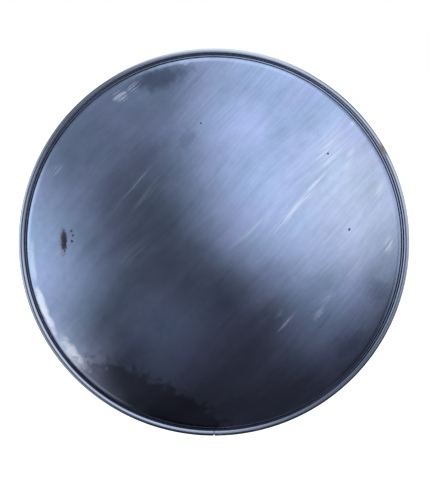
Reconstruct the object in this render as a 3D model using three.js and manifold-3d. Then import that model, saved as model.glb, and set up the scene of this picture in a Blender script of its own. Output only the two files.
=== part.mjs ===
// Traffic convex mirror, 600 mm, on a tilting and swivelling post bracket.
//
// Millimetres, +Z up. The mirror looks along -Y and the post stands behind it, on +Y.
// The origin is the centre of the bracket plate's back face, where it bears on the post.
//
// The scene graph follows the mechanism: postBracket (fixed) carries swivelArm, which turns about
// the upright bolt, and swivelArm carries mirrorHead, which tilts about the cross bolt.

import * as THREE from 'three';
import { mergeVertices } from 'three/addons/utils/BufferGeometryUtils.js';
import Module from 'manifold-3d';

// ---- Driving dimensions ---------------------------------------------------------------------

// Stations along Y, measured from the post face.
const SWIVEL_AXIS_Y = -42;
const TILT_AXIS_Y = -92;
const YOKE_BACK_Y = -130;
const PAN_BACK_Y = -134.2;
const RIM_Y = -161;

// Rim: a split hoop of C section grips a rubber seal over the dish's and the pan's flanges.
const HOOP_RADIUS = 300;
const BEAD_RADIUS = 4.8;
const HOOP_WALL = 1.0;
const HOOP_SPLIT = 1.2;
const HOOP_MOUTH = 2.35;
const FLANGE_TIP = 296.6;
const FLANGE_GAP = 0.15;
const SHEET = 1.0;
const SEAL_INNER = 290.2;
const SEAL_OUTER = 297.8;
const SEAL_LIP = 0.9;
const SEAL_CLEAR = 0.1;

// Dish: a shallow spherical cap, a rolled shoulder and a small fillet down to its flange.
const DOME_EDGE_RADIUS = 280;
const DOME_EDGE_SLOPE = 22;
const SHOULDER_RADIUS = 24;
const SHOULDER_SLOPE = 46;
const FILLET_RADIUS = 1.8;

// Back pan: flange, sloping wall, flat back with one raised stiffening ring.
const PAN_FOOT_RADIUS = 288.6;
const PAN_WALL_TOP = 276;
const PAN_FLAT_RADIUS = 268;
const PAN_RING = [216, 211, 196, 191];
const PAN_RING_HEIGHT = 3;
const DRAIN_RADIUS = 4;
const DRAIN_CIRCLE = 254;
const DRAIN_ANGLES = [-12, 0, 12];

// Hoop closing lugs, behind the split at the lowest point.
const LUG_GAP = 2.2;
const LUG_SHEET = 2;
const LUG_FOOT = 14;
const LUG_HEIGHT = 16;
const LUG_WIDTH = 10;
const LUG_Z = -293.5;
const LUG_BOLT_RISE = 9.5;

// Yoke and its four carriage bolts.
const YOKE_WIDTH = 100;
const YOKE_HEIGHT = 80;
const YOKE_SHEET = 4;
const YOKE_EAR_INNER = 22;
const YOKE_EAR_RADIUS = 15;
const YOKE_EAR_FOOT = 24;
const YOKE_BOLT_X = 36;
const YOKE_BOLT_Z = 26;
const BACKING_WIDTH = 140;
const BACKING_HEIGHT = 110;
const BACKING_SHEET = 3;

// Swivel block.
const EYE_LENGTH = 40;
const REAR_EYE_RADIUS = 17;
const FRONT_EYE_RADIUS = 16;
const NECK_SIZE = 27;
const NECK_CHAMFER = 6;
const FRICTION_WASHER = { inner: 5.6, outer: 15, thick: 1.8 };

// Post bracket.
const PLATE_WIDTH = 120;
const PLATE_HEIGHT = 160;
const PLATE_THICK = 5;
const BRACKET_EAR_INNER = 22;
const BRACKET_EAR_THICK = 5;
const BRACKET_EAR_RADIUS = 17;
const BRACKET_EAR_FOOT = 30;

// U-bolts for a 76.3 mm post.
const POST_RADIUS = 38.15;
const U_BOLT_Z = 50;
const U_BOLT_BEND = 43.4;
const U_BOLT_TAIL = 24;

// Fastener sizes: shank radius, hole radius in plate, hexagon across flats, head and nut heights.
const M5 = { shank: 2.5, hole: 2.8, flats: 8, head: 3.5, nut: 4 };
const M8 = { shank: 4, hole: 4.5, flats: 13, nut: 6.5, washer: 8, washerThick: 1.6 };
const M10 = { shank: 5, hole: 5.5, flats: 16, head: 6.4, nut: 8.4, washer: 10, washerThick: 2 };
const PIVOT_BORE = 5.1;
const SPRING_WASHER_THICK = 2.2;
const SEAT_GAP = 0.1;

// Facets round the large rings, the pivots and the small fasteners.
const RING_FACETS = 48;
const PIVOT_FACETS = 24;
const SMALL_FACETS = 12;
const CORNER_STEPS = 3;
const BAR_FACETS = 8;
const BEND_STEPS = 12;

// ---- Finishes -------------------------------------------------------------------------------

const POLISHED_STAINLESS = { color: 0xaab6d4, roughness: 0.22, metalness: 1 };
const HOOP_STAINLESS = { color: 0xb9c0cf, roughness: 0.3, metalness: 1 };
const GALVANISED = { color: 0xa3a9ad, roughness: 0.48, metalness: 0.9 };
const CAST_GALVANISED = { color: 0x8f9498, roughness: 0.55, metalness: 0.85 };
const ZINC = { color: 0xc3c5c2, roughness: 0.35, metalness: 1 };
const NYLON = { color: 0xe2dfd4, roughness: 0.5, metalness: 0 };
const RUBBER = { color: 0x1b1b1e, roughness: 0.85, metalness: 0 };

// ---- Solid tools ----------------------------------------------------------------------------

const wasm = await Module();
wasm.setup();

const radians = THREE.MathUtils.degToRad;

// Keeps positions only, merges shared corners and drops triangles that collapse on an axis.
function closed(geometry) {
  const bare = geometry.clone();
  bare.deleteAttribute('normal');
  bare.deleteAttribute('uv');
  const merged = mergeVertices(bare, 1e-4);
  const index = merged.index.array;
  const kept = [];
  for (let i = 0; i < index.length; i += 3) {
    const [a, b, c] = [index[i], index[i + 1], index[i + 2]];
    if (a !== b && b !== c && c !== a) {
      kept.push(a, b, c);
    }
  }
  merged.setIndex(kept);
  return merged;
}

function toSolid(geometry) {
  const merged = closed(geometry);
  return new wasm.Manifold(new wasm.Mesh({
    numProp: 3,
    vertProperties: new Float32Array(merged.attributes.position.array),
    triVerts: new Uint32Array(merged.index.array),
  }));
}

function toGeometry(solid) {
  const mesh = solid.getMesh();
  const geometry = new THREE.BufferGeometry();
  geometry.setAttribute('position', new THREE.BufferAttribute(mesh.vertProperties, 3));
  geometry.setIndex(new THREE.BufferAttribute(mesh.triVerts, 1));
  geometry.computeVertexNormals();
  return geometry;
}

// Joins a list of geometries and cuts a second list from the result.
function combine(joined, cuts = []) {
  let solid = toSolid(joined[0]);
  for (const piece of joined.slice(1)) {
    solid = solid.add(toSolid(piece));
  }
  for (const piece of cuts) {
    solid = solid.subtract(toSolid(piece));
  }
  return toGeometry(solid);
}

// Turns a closed [radius, y] outline about the Y axis.
function revolve(outline, facets) {
  const points = outline.map(([r, y]) => new THREE.Vector2(r, y));
  if (outline[0][0] > 0) {
    points.push(points[0].clone());
  }
  return closed(new THREE.LatheGeometry(points, facets));
}

// Gives a [radius, y] line that runs outwards the thickness of a sheet laid on its +Y side.
function sheetOutline(line, thickness) {
  const far = line.map(([r, y], i) => {
    const before = line[Math.max(i - 1, 0)];
    const after = line[Math.min(i + 1, line.length - 1)];
    const into = new THREE.Vector2(r - before[0], y - before[1]).normalize();
    const out = new THREE.Vector2(after[0] - r, after[1] - y).normalize();
    const along = into.clone().add(out).normalize();
    const straight = Math.max(into.dot(along), out.dot(along));
    const reach = thickness / straight;
    return [r === 0 ? 0 : r - along.y * reach, y + along.x * reach];
  });
  return [...line, ...far.reverse()];
}

// Extrudes a shape and lays its own X, Y and depth along three given axes.
function extrude(shape, depth, axes) {
  const geometry = new THREE.ExtrudeGeometry(shape, { depth, bevelEnabled: false });
  geometry.translate(0, 0, -depth / 2);
  const basis = axes.map((axis) => new THREE.Vector3(...axis));
  geometry.applyMatrix4(new THREE.Matrix4().makeBasis(...basis));
  return geometry;
}

const X = [1, 0, 0];
const Y = [0, 1, 0];
const Z = [0, 0, 1];
const MINUS_Y = [0, -1, 0];
// Axes for a flat plate seen from the front (-Y), with its thickness along Y.
const FACING_FRONT = [Z, X, Y];

// Corners of an arc from one angle to another, in degrees.
function arc(x, y, radius, from, to, steps) {
  const points = [];
  for (let i = 0; i <= steps; i += 1) {
    const angle = radians(THREE.MathUtils.lerp(from, to, i / steps));
    points.push(new THREE.Vector2(x + radius * Math.cos(angle), y + radius * Math.sin(angle)));
  }
  return points;
}

function polygon(x, y, radius, sides, turn = 0) {
  return arc(x, y, radius, turn, turn + 360, sides).slice(0, sides);
}

function hole(x, y, radius, sides = SMALL_FACETS) {
  return new THREE.Path(polygon(x, y, radius, sides).reverse());
}

// A rectangle with rounded corners; height runs along the shape's first axis.
function roundedPlate(width, height, corner) {
  const [h, w] = [height / 2 - corner, width / 2 - corner];
  return new THREE.Shape([
    ...arc(h, -w, corner, -90, 0, CORNER_STEPS),
    ...arc(h, w, corner, 0, 90, CORNER_STEPS),
    ...arc(-h, w, corner, 90, 180, CORNER_STEPS),
    ...arc(-h, -w, corner, 180, 270, CORNER_STEPS),
  ]);
}

// An ear with a round end about the origin, a bore there and a wider foot at x = -reach.
function earShape(reach, foot, radius, bore) {
  const far = Math.hypot(reach, foot);
  const tangent = THREE.MathUtils.radToDeg(Math.atan2(foot, -reach) - Math.acos(radius / far));
  const shape = new THREE.Shape([
    new THREE.Vector2(-reach, -foot),
    ...arc(0, 0, radius, -tangent, tangent, SMALL_FACETS),
    new THREE.Vector2(-reach, foot),
  ]);
  shape.holes.push(hole(0, 0, bore));
  return shape;
}

// A round bar along one of the axes, centred on the origin.
function bar(radius, length, axis, facets) {
  const geometry = new THREE.CylinderGeometry(radius, radius, length, facets);
  if (axis === X) {
    geometry.rotateZ(-Math.PI / 2);
  }
  if (axis === Z) {
    geometry.rotateX(Math.PI / 2);
  }
  return geometry;
}

// ---- Fasteners, each with its axis along +Y and its bearing face at y = 0 ---------------------

function hexShape(flats) {
  return new THREE.Shape(polygon(0, 0, flats / Math.sqrt(3), 6));
}

// Hexagon bolt: head on the -Y side, shank towards +Y.
function hexBolt(size, length, facets) {
  const head = extrude(hexShape(size.flats), size.head, FACING_FRONT);
  head.translate(0, -size.head / 2, 0);
  const shank = bar(size.shank, length + 1, Y, facets);
  shank.translate(0, (length - 1) / 2, 0);
  return combine([head, shank]);
}

function hexNut(size) {
  const shape = hexShape(size.flats);
  shape.holes.push(hole(0, 0, size.shank + 0.3));
  const nut = extrude(shape, size.nut, FACING_FRONT);
  nut.translate(0, size.nut / 2, 0);
  return nut;
}

function flatWasher({ inner, outer, thick }, facets = SMALL_FACETS) {
  return revolve([[inner, 0], [outer, 0], [outer, thick], [inner, thick]], facets);
}

// Split ring, open by a few degrees.
function springWasher(size) {
  const [inner, outer] = [size.shank + 0.4, size.shank + 3.6];
  const shape = new THREE.Shape([
    ...arc(0, 0, outer, 9, 351, SMALL_FACETS),
    ...arc(0, 0, inner, 351, 9, SMALL_FACETS),
  ]);
  const ring = extrude(shape, SPRING_WASHER_THICK, FACING_FRONT);
  ring.translate(0, SPRING_WASHER_THICK / 2, 0);
  return ring;
}

// Round-headed carriage bolt.
function carriageBolt(length) {
  const head = [[0, -4.4], [4.6, -3.6], [7.8, -1.9], [9, -0.6], [9, 0]];
  return revolve([...head, [M8.shank, 0], [M8.shank, length], [0, length]], SMALL_FACETS);
}

// ---- Mirror head, about the tilt axis ---------------------------------------------------------

const head = {
  rim: RIM_Y - TILT_AXIS_Y,
  panBack: PAN_BACK_Y - TILT_AXIS_Y,
  yokeBack: YOKE_BACK_Y - TILT_AXIS_Y,
};

// The dish's front face from its crown to the flange's edge.
function dishLine() {
  const dome = DOME_EDGE_RADIUS / Math.sin(radians(DOME_EDGE_SLOPE));
  const spans = [
    { radius: dome, from: 0, to: DOME_EDGE_SLOPE, steps: 7 },
    { radius: SHOULDER_RADIUS, from: DOME_EDGE_SLOPE, to: SHOULDER_SLOPE, steps: 3 },
    { radius: -FILLET_RADIUS, from: SHOULDER_SLOPE, to: 0, steps: 2 },
  ];
  const line = [[0, 0]];
  for (const { radius, from, to, steps } of spans) {
    const [r, y] = line[line.length - 1];
    for (let i = 1; i <= steps; i += 1) {
      const slope = radians(THREE.MathUtils.lerp(from, to, i / steps));
      const across = Math.sin(slope) - Math.sin(radians(from));
      const back = Math.cos(radians(from)) - Math.cos(slope);
      line.push([r + radius * across, y + radius * back]);
    }
  }
  line.push([FLANGE_TIP, line[line.length - 1][1]]);
  const drop = head.rim - FLANGE_GAP - SHEET - line[line.length - 1][1];
  return line.map(([r, y]) => [r, y + drop]);
}

function mirrorDish() {
  return revolve(sheetOutline(dishLine(), SHEET), RING_FACETS);
}

// U-shaped rubber edging over both flanges.
function rimSeal() {
  const inside = FLANGE_GAP + SHEET + SEAL_CLEAR;
  const outside = inside + SEAL_LIP;
  const web = FLANGE_TIP + 0.2;
  const outline = [
    [SEAL_INNER, -outside],
    [SEAL_OUTER - 0.7, -outside],
    [SEAL_OUTER, 0.7 - outside],
    [SEAL_OUTER, outside - 0.7],
    [SEAL_OUTER - 0.7, outside],
    [SEAL_INNER, outside],
    [SEAL_INNER, inside],
    [web, inside],
    [web, -inside],
    [SEAL_INNER, -inside],
  ];
  return revolve(outline.map(([r, y]) => [r, y + head.rim]), RING_FACETS);
}

// Rolled hoop of C section, open towards the axis and split at its lowest point.
function rimHoop() {
  const centre = HOOP_RADIUS - BEAD_RADIUS;
  const inner = BEAD_RADIUS - HOOP_WALL;
  const mouth = 180 - THREE.MathUtils.radToDeg(Math.asin(HOOP_MOUTH / inner));
  const outline = [];
  for (let i = 0; i <= 8; i += 1) {
    const angle = radians(THREE.MathUtils.lerp(-mouth, mouth, i / 8));
    outline.push([centre + BEAD_RADIUS * Math.cos(angle), head.rim + BEAD_RADIUS * Math.sin(angle)]);
  }
  for (let i = 6; i >= 0; i -= 1) {
    const angle = radians(THREE.MathUtils.lerp(-mouth, mouth, i / 6));
    outline.push([centre + inner * Math.cos(angle), head.rim + inner * Math.sin(angle)]);
  }
  const split = new THREE.BoxGeometry(HOOP_SPLIT, 20, 30);
  split.translate(0, head.rim, -centre);
  return combine([revolve(outline, RING_FACETS)], [split]);
}

// One bent tab of the hoop's closure, seen from above; side is -1 or 1.
function hoopLug(side) {
  const shape = new THREE.Shape();
  shape.moveTo(0, 0);
  shape.lineTo(LUG_FOOT, 0);
  shape.lineTo(LUG_FOOT, LUG_SHEET);
  shape.lineTo(LUG_SHEET + 1, LUG_SHEET);
  shape.lineTo(LUG_SHEET, LUG_SHEET + 1);
  shape.lineTo(LUG_SHEET, LUG_HEIGHT);
  shape.lineTo(0, LUG_HEIGHT);
  const tab = extrude(shape, LUG_WIDTH, [X, Y, Z]);
  tab.translate(LUG_GAP, 0, 0);
  const bore = bar(M5.hole, 40, X, SMALL_FACETS);
  bore.translate(0, LUG_BOLT_RISE, 0);
  const lug = combine([tab], [bore]);
  if (side < 0) {
    lug.rotateY(Math.PI);
  }
  return lug;
}

// Pan: flange at the rim, sloping wall, flat back with a raised ring, bolt holes and drains.
function backPan() {
  const foot = head.rim + FLANGE_GAP;
  const back = head.panBack - SHEET;
  const [ringA, ringB, ringC, ringD] = PAN_RING;
  const line = [
    [0, back],
    [ringD, back],
    [ringC, back + PAN_RING_HEIGHT],
    [ringB, back + PAN_RING_HEIGHT],
    [ringA, back],
    [PAN_FLAT_RADIUS, back],
    [PAN_WALL_TOP, back - 5],
    [PAN_FOOT_RADIUS - 1.5, foot + 2.5],
    [PAN_FOOT_RADIUS, foot],
    [FLANGE_TIP, foot],
  ];
  const holes = [];
  for (const x of [-YOKE_BOLT_X, YOKE_BOLT_X]) {
    for (const z of [-YOKE_BOLT_Z, YOKE_BOLT_Z]) {
      const hole = bar(M8.hole, 20, Y, SMALL_FACETS);
      hole.translate(x, head.panBack, z);
      holes.push(hole);
    }
  }
  for (const degrees of DRAIN_ANGLES) {
    const drain = bar(DRAIN_RADIUS, 20, Y, SMALL_FACETS);
    const angle = radians(degrees);
    drain.translate(DRAIN_CIRCLE * Math.sin(angle), head.panBack, -DRAIN_CIRCLE * Math.cos(angle));
    holes.push(drain);
  }
  return combine([revolve(sheetOutline(line, SHEET), RING_FACETS)], holes);
}

function boltHoles(shape) {
  for (const x of [-YOKE_BOLT_X, YOKE_BOLT_X]) {
    for (const z of [-YOKE_BOLT_Z, YOKE_BOLT_Z]) {
      shape.holes.push(hole(z, x, M8.hole));
    }
  }
  return shape;
}

function backingPlate() {
  return extrude(boltHoles(roundedPlate(BACKING_WIDTH, BACKING_HEIGHT, 8)), BACKING_SHEET, FACING_FRONT);
}

// Base plate on the pan and two upright ears for the tilt bolt.
function tiltYoke() {
  const base = extrude(boltHoles(roundedPlate(YOKE_WIDTH, YOKE_HEIGHT, 8)), YOKE_SHEET, FACING_FRONT);
  base.translate(0, head.yokeBack - YOKE_SHEET / 2, 0);
  const reach = YOKE_SHEET / 2 - head.yokeBack;
  const ears = [];
  for (const side of [-1, 1]) {
    const ear = extrude(earShape(reach, YOKE_EAR_FOOT, YOKE_EAR_RADIUS, M10.hole), YOKE_SHEET, [Y, Z, X]);
    ear.translate(side * (YOKE_EAR_INNER + YOKE_SHEET / 2), 0, 0);
    ears.push(ear);
  }
  return combine([base, ...ears]);
}

// ---- Swivel arm, about the swivel axis --------------------------------------------------------

// Knuckle with an upright eye on the swivel axis and a cross eye on the tilt axis.
function swivelBlock() {
  const span = TILT_AXIS_Y - SWIVEL_AXIS_Y;
  const half = NECK_SIZE / 2;
  const cut = half - NECK_CHAMFER;
  const section = new THREE.Shape();
  section.moveTo(-cut, -half);
  section.lineTo(cut, -half);
  section.lineTo(half, -cut);
  section.lineTo(half, cut);
  section.lineTo(cut, half);
  section.lineTo(-cut, half);
  section.lineTo(-half, cut);
  section.lineTo(-half, -cut);
  const neck = extrude(section, -span - 8, FACING_FRONT);
  neck.translate(0, span / 2, 0);
  const rearEye = bar(REAR_EYE_RADIUS, EYE_LENGTH, Z, PIVOT_FACETS);
  const frontEye = bar(FRONT_EYE_RADIUS, EYE_LENGTH, X, PIVOT_FACETS);
  frontEye.translate(0, span, 0);
  const rearBore = bar(PIVOT_BORE, 60, Z, PIVOT_FACETS);
  const frontBore = bar(PIVOT_BORE, 60, X, PIVOT_FACETS);
  frontBore.translate(0, span, 0);
  return combine([neck, rearEye, frontEye], [rearBore, frontBore]);
}

// ---- Post bracket -----------------------------------------------------------------------------

// Back plate with four U-bolt holes and two level ears for the swivel bolt.
function postBracket() {
  const shape = roundedPlate(PLATE_WIDTH, PLATE_HEIGHT, 10);
  for (const x of [-U_BOLT_BEND, U_BOLT_BEND]) {
    for (const z of [-U_BOLT_Z, U_BOLT_Z]) {
      shape.holes.push(hole(z, x, M10.hole));
    }
  }
  const plate = extrude(shape, PLATE_THICK, FACING_FRONT);
  plate.translate(0, -PLATE_THICK / 2, 0);
  const reach = -SWIVEL_AXIS_Y - PLATE_THICK / 2;
  const ears = [];
  for (const side of [-1, 1]) {
    const outline = earShape(reach, BRACKET_EAR_FOOT, BRACKET_EAR_RADIUS, M10.hole);
    const ear = extrude(outline, BRACKET_EAR_THICK, [MINUS_Y, X, Z]);
    ear.translate(0, SWIVEL_AXIS_Y, side * (BRACKET_EAR_INNER + BRACKET_EAR_THICK / 2));
    ears.push(ear);
  }
  return combine([plate, ...ears]);
}

// A line through given points, each reached at an equal step of its parameter.
class StationCurve extends THREE.Curve {
  constructor(stations) {
    super();
    this.stations = stations;
  }

  getPoint(t, target = new THREE.Vector3()) {
    const scaled = t * (this.stations.length - 1);
    const i = Math.min(Math.floor(scaled), this.stations.length - 2);
    return target.lerpVectors(this.stations[i], this.stations[i + 1], scaled - i);
  }

  getPointAt(u, target) {
    return this.getPoint(u, target);
  }

  getTangentAt(u, target = new THREE.Vector3()) {
    const step = 1e-3;
    const ahead = this.getPoint(Math.min(u + step, 1));
    return target.copy(ahead).sub(this.getPoint(Math.max(u - step, 0))).normalize();
  }
}

// Round bar bent round the post about the origin, with both threaded legs towards -Y.
function uBolt() {
  const bend = arc(0, 0, U_BOLT_BEND, 180, 0, BEND_STEPS).map((p) => new THREE.Vector3(p.x, p.y, 0));
  const tail = -POST_RADIUS - U_BOLT_TAIL;
  const stations = [
    new THREE.Vector3(-U_BOLT_BEND, tail, 0),
    ...bend,
    new THREE.Vector3(U_BOLT_BEND, tail, 0),
  ];
  const section = new THREE.Shape(polygon(0, 0, M10.shank, BAR_FACETS, 22.5));
  return new THREE.ExtrudeGeometry(section, {
    steps: stations.length - 1,
    extrudePath: new StationCurve(stations),
    bevelEnabled: false,
  });
}

// ---- Assembly -----------------------------------------------------------------------------------

// Adds one named piece; turn is an optional Euler rotation.
function place(group, name, geometry, finish, position = [0, 0, 0], turn = [0, 0, 0]) {
  const mesh = new THREE.Mesh(geometry, new THREE.MeshStandardMaterial(finish));
  mesh.name = name;
  mesh.position.set(...position);
  mesh.rotation.set(...turn);
  group.add(mesh);
}

// A pivot bolt with its washers and nut, along +Y of its own group before the group is turned.
function placePivot(group, prefix, grip) {
  const washer = { inner: M10.hole, outer: M10.washer, thick: M10.washerThick };
  const headSeat = -grip / 2 - SEAT_GAP - washer.thick;
  const springSeat = grip / 2 + washer.thick + 2 * SEAT_GAP;
  const nutSeat = springSeat + SPRING_WASHER_THICK + SEAT_GAP;
  const length = nutSeat + M10.nut + 4 - headSeat + SEAT_GAP;
  place(group, `${prefix}_bolt`, hexBolt(M10, length, PIVOT_FACETS), ZINC, [0, headSeat - SEAT_GAP, 0]);
  place(group, `${prefix}_head_washer`, flatWasher(washer), ZINC, [0, headSeat, 0]);
  place(group, `${prefix}_nut_washer`, flatWasher(washer), ZINC, [0, grip / 2 + SEAT_GAP, 0]);
  place(group, `${prefix}_spring_washer`, springWasher(M10), ZINC, [0, springSeat, 0]);
  place(group, `${prefix}_nut`, hexNut(M10), ZINC, [0, nutSeat, 0]);
}

function buildMirrorHead() {
  const group = new THREE.Group();
  place(group, 'mirror_dish', mirrorDish(), POLISHED_STAINLESS);
  place(group, 'rim_seal', rimSeal(), RUBBER);
  place(group, 'rim_hoop', rimHoop(), HOOP_STAINLESS);
  const lugY = head.rim + BEAD_RADIUS + SEAT_GAP;
  place(group, 'hoop_lug_left', hoopLug(-1), HOOP_STAINLESS, [0, lugY, LUG_Z]);
  place(group, 'hoop_lug_right', hoopLug(1), HOOP_STAINLESS, [0, lugY, LUG_Z]);
  const lugFace = LUG_GAP + LUG_SHEET + SEAT_GAP;
  const boltY = lugY + LUG_BOLT_RISE;
  const alongX = [0, 0, -Math.PI / 2];
  place(group, 'hoop_bolt', hexBolt(M5, 22, SMALL_FACETS), ZINC, [-lugFace, boltY, LUG_Z], alongX);
  place(group, 'hoop_nut', hexNut(M5), ZINC, [lugFace, boltY, LUG_Z], alongX);
  place(group, 'back_pan', backPan(), GALVANISED);
  const backingY = head.panBack - SHEET - SEAT_GAP - BACKING_SHEET;
  place(group, 'backing_plate', backingPlate(), GALVANISED, [0, backingY + BACKING_SHEET / 2, 0]);
  place(group, 'tilt_yoke', tiltYoke(), GALVANISED);

  const washer = { inner: M8.hole, outer: M8.washer, thick: M8.washerThick };
  const nutSeat = head.yokeBack + washer.thick + 2 * SEAT_GAP;
  const boltSeat = backingY - SEAT_GAP;
  let number = 1;
  for (const z of [YOKE_BOLT_Z, -YOKE_BOLT_Z]) {
    for (const x of [-YOKE_BOLT_X, YOKE_BOLT_X]) {
      const shank = nutSeat + M8.nut + 3 - boltSeat;
      place(group, `carriage_bolt_${number}`, carriageBolt(shank), ZINC, [x, boltSeat, z]);
      place(group, `yoke_washer_${number}`, flatWasher(washer), ZINC, [x, head.yokeBack + SEAT_GAP, z]);
      place(group, `yoke_nut_${number}`, hexNut(M8), ZINC, [x, nutSeat, z]);
      number += 1;
    }
  }

  const pivot = new THREE.Group();
  pivot.rotation.z = -Math.PI / 2;
  placePivot(pivot, 'tilt', 2 * (YOKE_EAR_INNER + YOKE_SHEET));
  group.add(pivot);
  return group;
}

function buildSwivelArm() {
  const group = new THREE.Group();
  place(group, 'swivel_block', swivelBlock(), CAST_GALVANISED);
  const seat = EYE_LENGTH / 2 + SEAT_GAP;
  const span = TILT_AXIS_Y - SWIVEL_AXIS_Y;
  const ring = flatWasher(FRICTION_WASHER, 16);
  const [half, quarter] = [Math.PI, Math.PI / 2];
  place(group, 'swivel_friction_washer_upper', ring, NYLON, [0, 0, seat], [quarter, 0, 0]);
  place(group, 'swivel_friction_washer_lower', ring, NYLON, [0, 0, -seat], [-quarter, 0, 0]);
  place(group, 'tilt_friction_washer_left', ring, NYLON, [-seat, span, 0], [0, 0, quarter]);
  place(group, 'tilt_friction_washer_right', ring, NYLON, [seat, span, 0], [half, 0, -quarter]);
  return group;
}

function buildPostBracket() {
  const group = new THREE.Group();
  place(group, 'post_bracket', postBracket(), GALVANISED);

  const washer = { inner: M10.hole, outer: M10.washer, thick: M10.washerThick };
  const washerSeat = -PLATE_THICK - SEAT_GAP;
  const nutSeat = washerSeat - washer.thick - SEAT_GAP;
  const front = [Math.PI, 0, 0];
  place(group, 'u_bolt_upper', uBolt(), ZINC, [0, POST_RADIUS, U_BOLT_Z]);
  place(group, 'u_bolt_lower', uBolt(), ZINC, [0, POST_RADIUS, -U_BOLT_Z]);
  let number = 1;
  for (const z of [U_BOLT_Z, -U_BOLT_Z]) {
    for (const x of [-U_BOLT_BEND, U_BOLT_BEND]) {
      place(group, `u_bolt_washer_${number}`, flatWasher(washer), ZINC, [x, washerSeat, z], front);
      place(group, `u_bolt_nut_${number}`, hexNut(M10), ZINC, [x, nutSeat, z], front);
      number += 1;
    }
  }

  const pivot = new THREE.Group();
  pivot.position.set(0, SWIVEL_AXIS_Y, 0);
  pivot.rotation.x = -Math.PI / 2;
  placePivot(pivot, 'swivel', 2 * (BRACKET_EAR_INNER + BRACKET_EAR_THICK));
  group.add(pivot);
  return group;
}

const object = buildPostBracket();
const swivelArm = buildSwivelArm();
swivelArm.position.set(0, SWIVEL_AXIS_Y, 0);
const mirrorHead = buildMirrorHead();
mirrorHead.position.set(0, TILT_AXIS_Y - SWIVEL_AXIS_Y, 0);
swivelArm.add(mirrorHead);
object.add(swivelArm);

export default object;
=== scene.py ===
"""Finish, fine shape and studio for a 600 mm traffic convex mirror on its post bracket.

Laid out as a Blender add-on: sizes and colours are properties, each piece has an operator, and a
panel in the 3D view's sidebar lists them. Metres, +Z up; the mirror looks along -Y.
"""

import math

import bmesh
import bpy
from mathutils import Euler, Matrix, Vector


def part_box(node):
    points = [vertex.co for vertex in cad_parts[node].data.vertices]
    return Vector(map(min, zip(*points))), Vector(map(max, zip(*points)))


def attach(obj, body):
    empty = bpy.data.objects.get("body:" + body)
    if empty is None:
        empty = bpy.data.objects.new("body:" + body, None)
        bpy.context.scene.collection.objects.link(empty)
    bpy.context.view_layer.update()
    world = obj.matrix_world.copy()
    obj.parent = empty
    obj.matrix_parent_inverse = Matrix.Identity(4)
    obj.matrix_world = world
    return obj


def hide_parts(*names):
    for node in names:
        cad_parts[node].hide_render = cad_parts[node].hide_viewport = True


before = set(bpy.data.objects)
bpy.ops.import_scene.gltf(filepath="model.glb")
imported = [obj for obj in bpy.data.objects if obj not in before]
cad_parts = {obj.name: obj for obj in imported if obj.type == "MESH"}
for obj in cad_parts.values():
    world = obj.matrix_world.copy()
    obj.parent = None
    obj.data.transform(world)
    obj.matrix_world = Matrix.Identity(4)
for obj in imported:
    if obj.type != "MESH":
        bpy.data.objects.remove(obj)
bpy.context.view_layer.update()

bl_info = {
    "name": "Traffic convex mirror",
    "version": (1, 0, 0),
    "blender": (4, 5, 0),
    "location": "View3D > Sidebar > Road mirror",
    "description": "Builds a stainless convex road mirror, its bracket and a studio round it",
    "category": "Add Mesh",
}

MM = 0.001
TAU = 2 * math.pi
SHARP_EDGE = math.radians(32)

# Turns that bring a piece made along +Y to another direction.
TO_X = (0, 0, -math.pi / 2)
TO_Z = (math.pi / 2, 0, 0)
TO_MINUS_Z = (-math.pi / 2, 0, 0)
TO_Y = (0, 0, 0)
TO_MINUS_Y = (math.pi, 0, 0)
# Stands a flat plate up, facing along Y.
UPRIGHT = (math.pi / 2, 0, 0)

# Dimensions in millimetres that the frame's boxes don't give.
SHEET = 1.0
SEAT_GAP = 0.1
DOME_EDGE_RADIUS = 280.0
DOME_EDGE_SLOPE = 22.0
SHOULDER_RADIUS = 24.0
SHOULDER_SLOPE = 46.0
FILLET_RADIUS = 1.8
FLANGE_TIP = 296.6
FLANGE_GAP = 0.15
BEAD_RADIUS = 4.8
HOOP_WALL = 1.0
HOOP_MOUTH = 2.35
HOOP_SPLIT = 1.2
DRAIN_CIRCLE = 254
DRAIN_RADIUS = 4
DRAIN_ANGLES = (-12, 0, 12)
LUG_SHEET = 2.0
LUG_BEND = 1.4
LUG_EDGE = 0.35
LUG_HOLE = 2.8
LUG_WELD = 11
LUG_WELD_END = 1.5
LUG_WELD_Y = 0.2
LUG_WELD_RADIUS = 1.3
YOKE_SHEET = 4
YOKE_CORNER = 8
YOKE_EAR_X = 24
YOKE_EAR = dict(foot=24, radius=15)
BRACKET_SHEET = 5
BRACKET_CORNER = 10
BRACKET_EAR_Z = 24.5
BRACKET_EAR = dict(foot=30, radius=17)
EAR_BITE = 1.0
WELD_END = 2
BEND_STEPS = 48
CARRIAGE_HEAD = 4.4
CARRIAGE_THREAD = 17
PIVOT_THREAD = 26
CLOSURE_THREAD = 16
U_BOLT_THREAD = 40
EYE_HALF = 20
EYE_CHAMFER = 1.2
REAR_EYE_RADIUS = 17
FRONT_EYE_RADIUS = 16
PIVOT_BORE = 5.1
FRICTION_WASHER = dict(inner=5.6, outer=15, thick=1.8)


# ---- Places read from the frame ------------------------------------------------------------


def middle(node):
    low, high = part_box(node)
    return (low + high) / 2


def numbered(stem, count=4):
    return [f"{stem}_{i}" for i in range(1, count + 1)]


RIM_Y = middle("rim_hoop").y
HOOP_RADIUS = (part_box("rim_hoop")[1].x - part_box("rim_hoop")[0].x) / 2
TILT_AXIS = Vector((0, middle("tilt_nut").y, middle("tilt_nut").z))
SWIVEL_AXIS = Vector((middle("swivel_nut").x, middle("swivel_nut").y, 0))
PAN_BACK_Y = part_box("backing_plate")[1].y + (SHEET + SEAT_GAP) * MM
YOKE_BACK_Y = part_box("yoke_washer_1")[0].y - SEAT_GAP * MM


# ---- Properties ----------------------------------------------------------------------------


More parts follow.
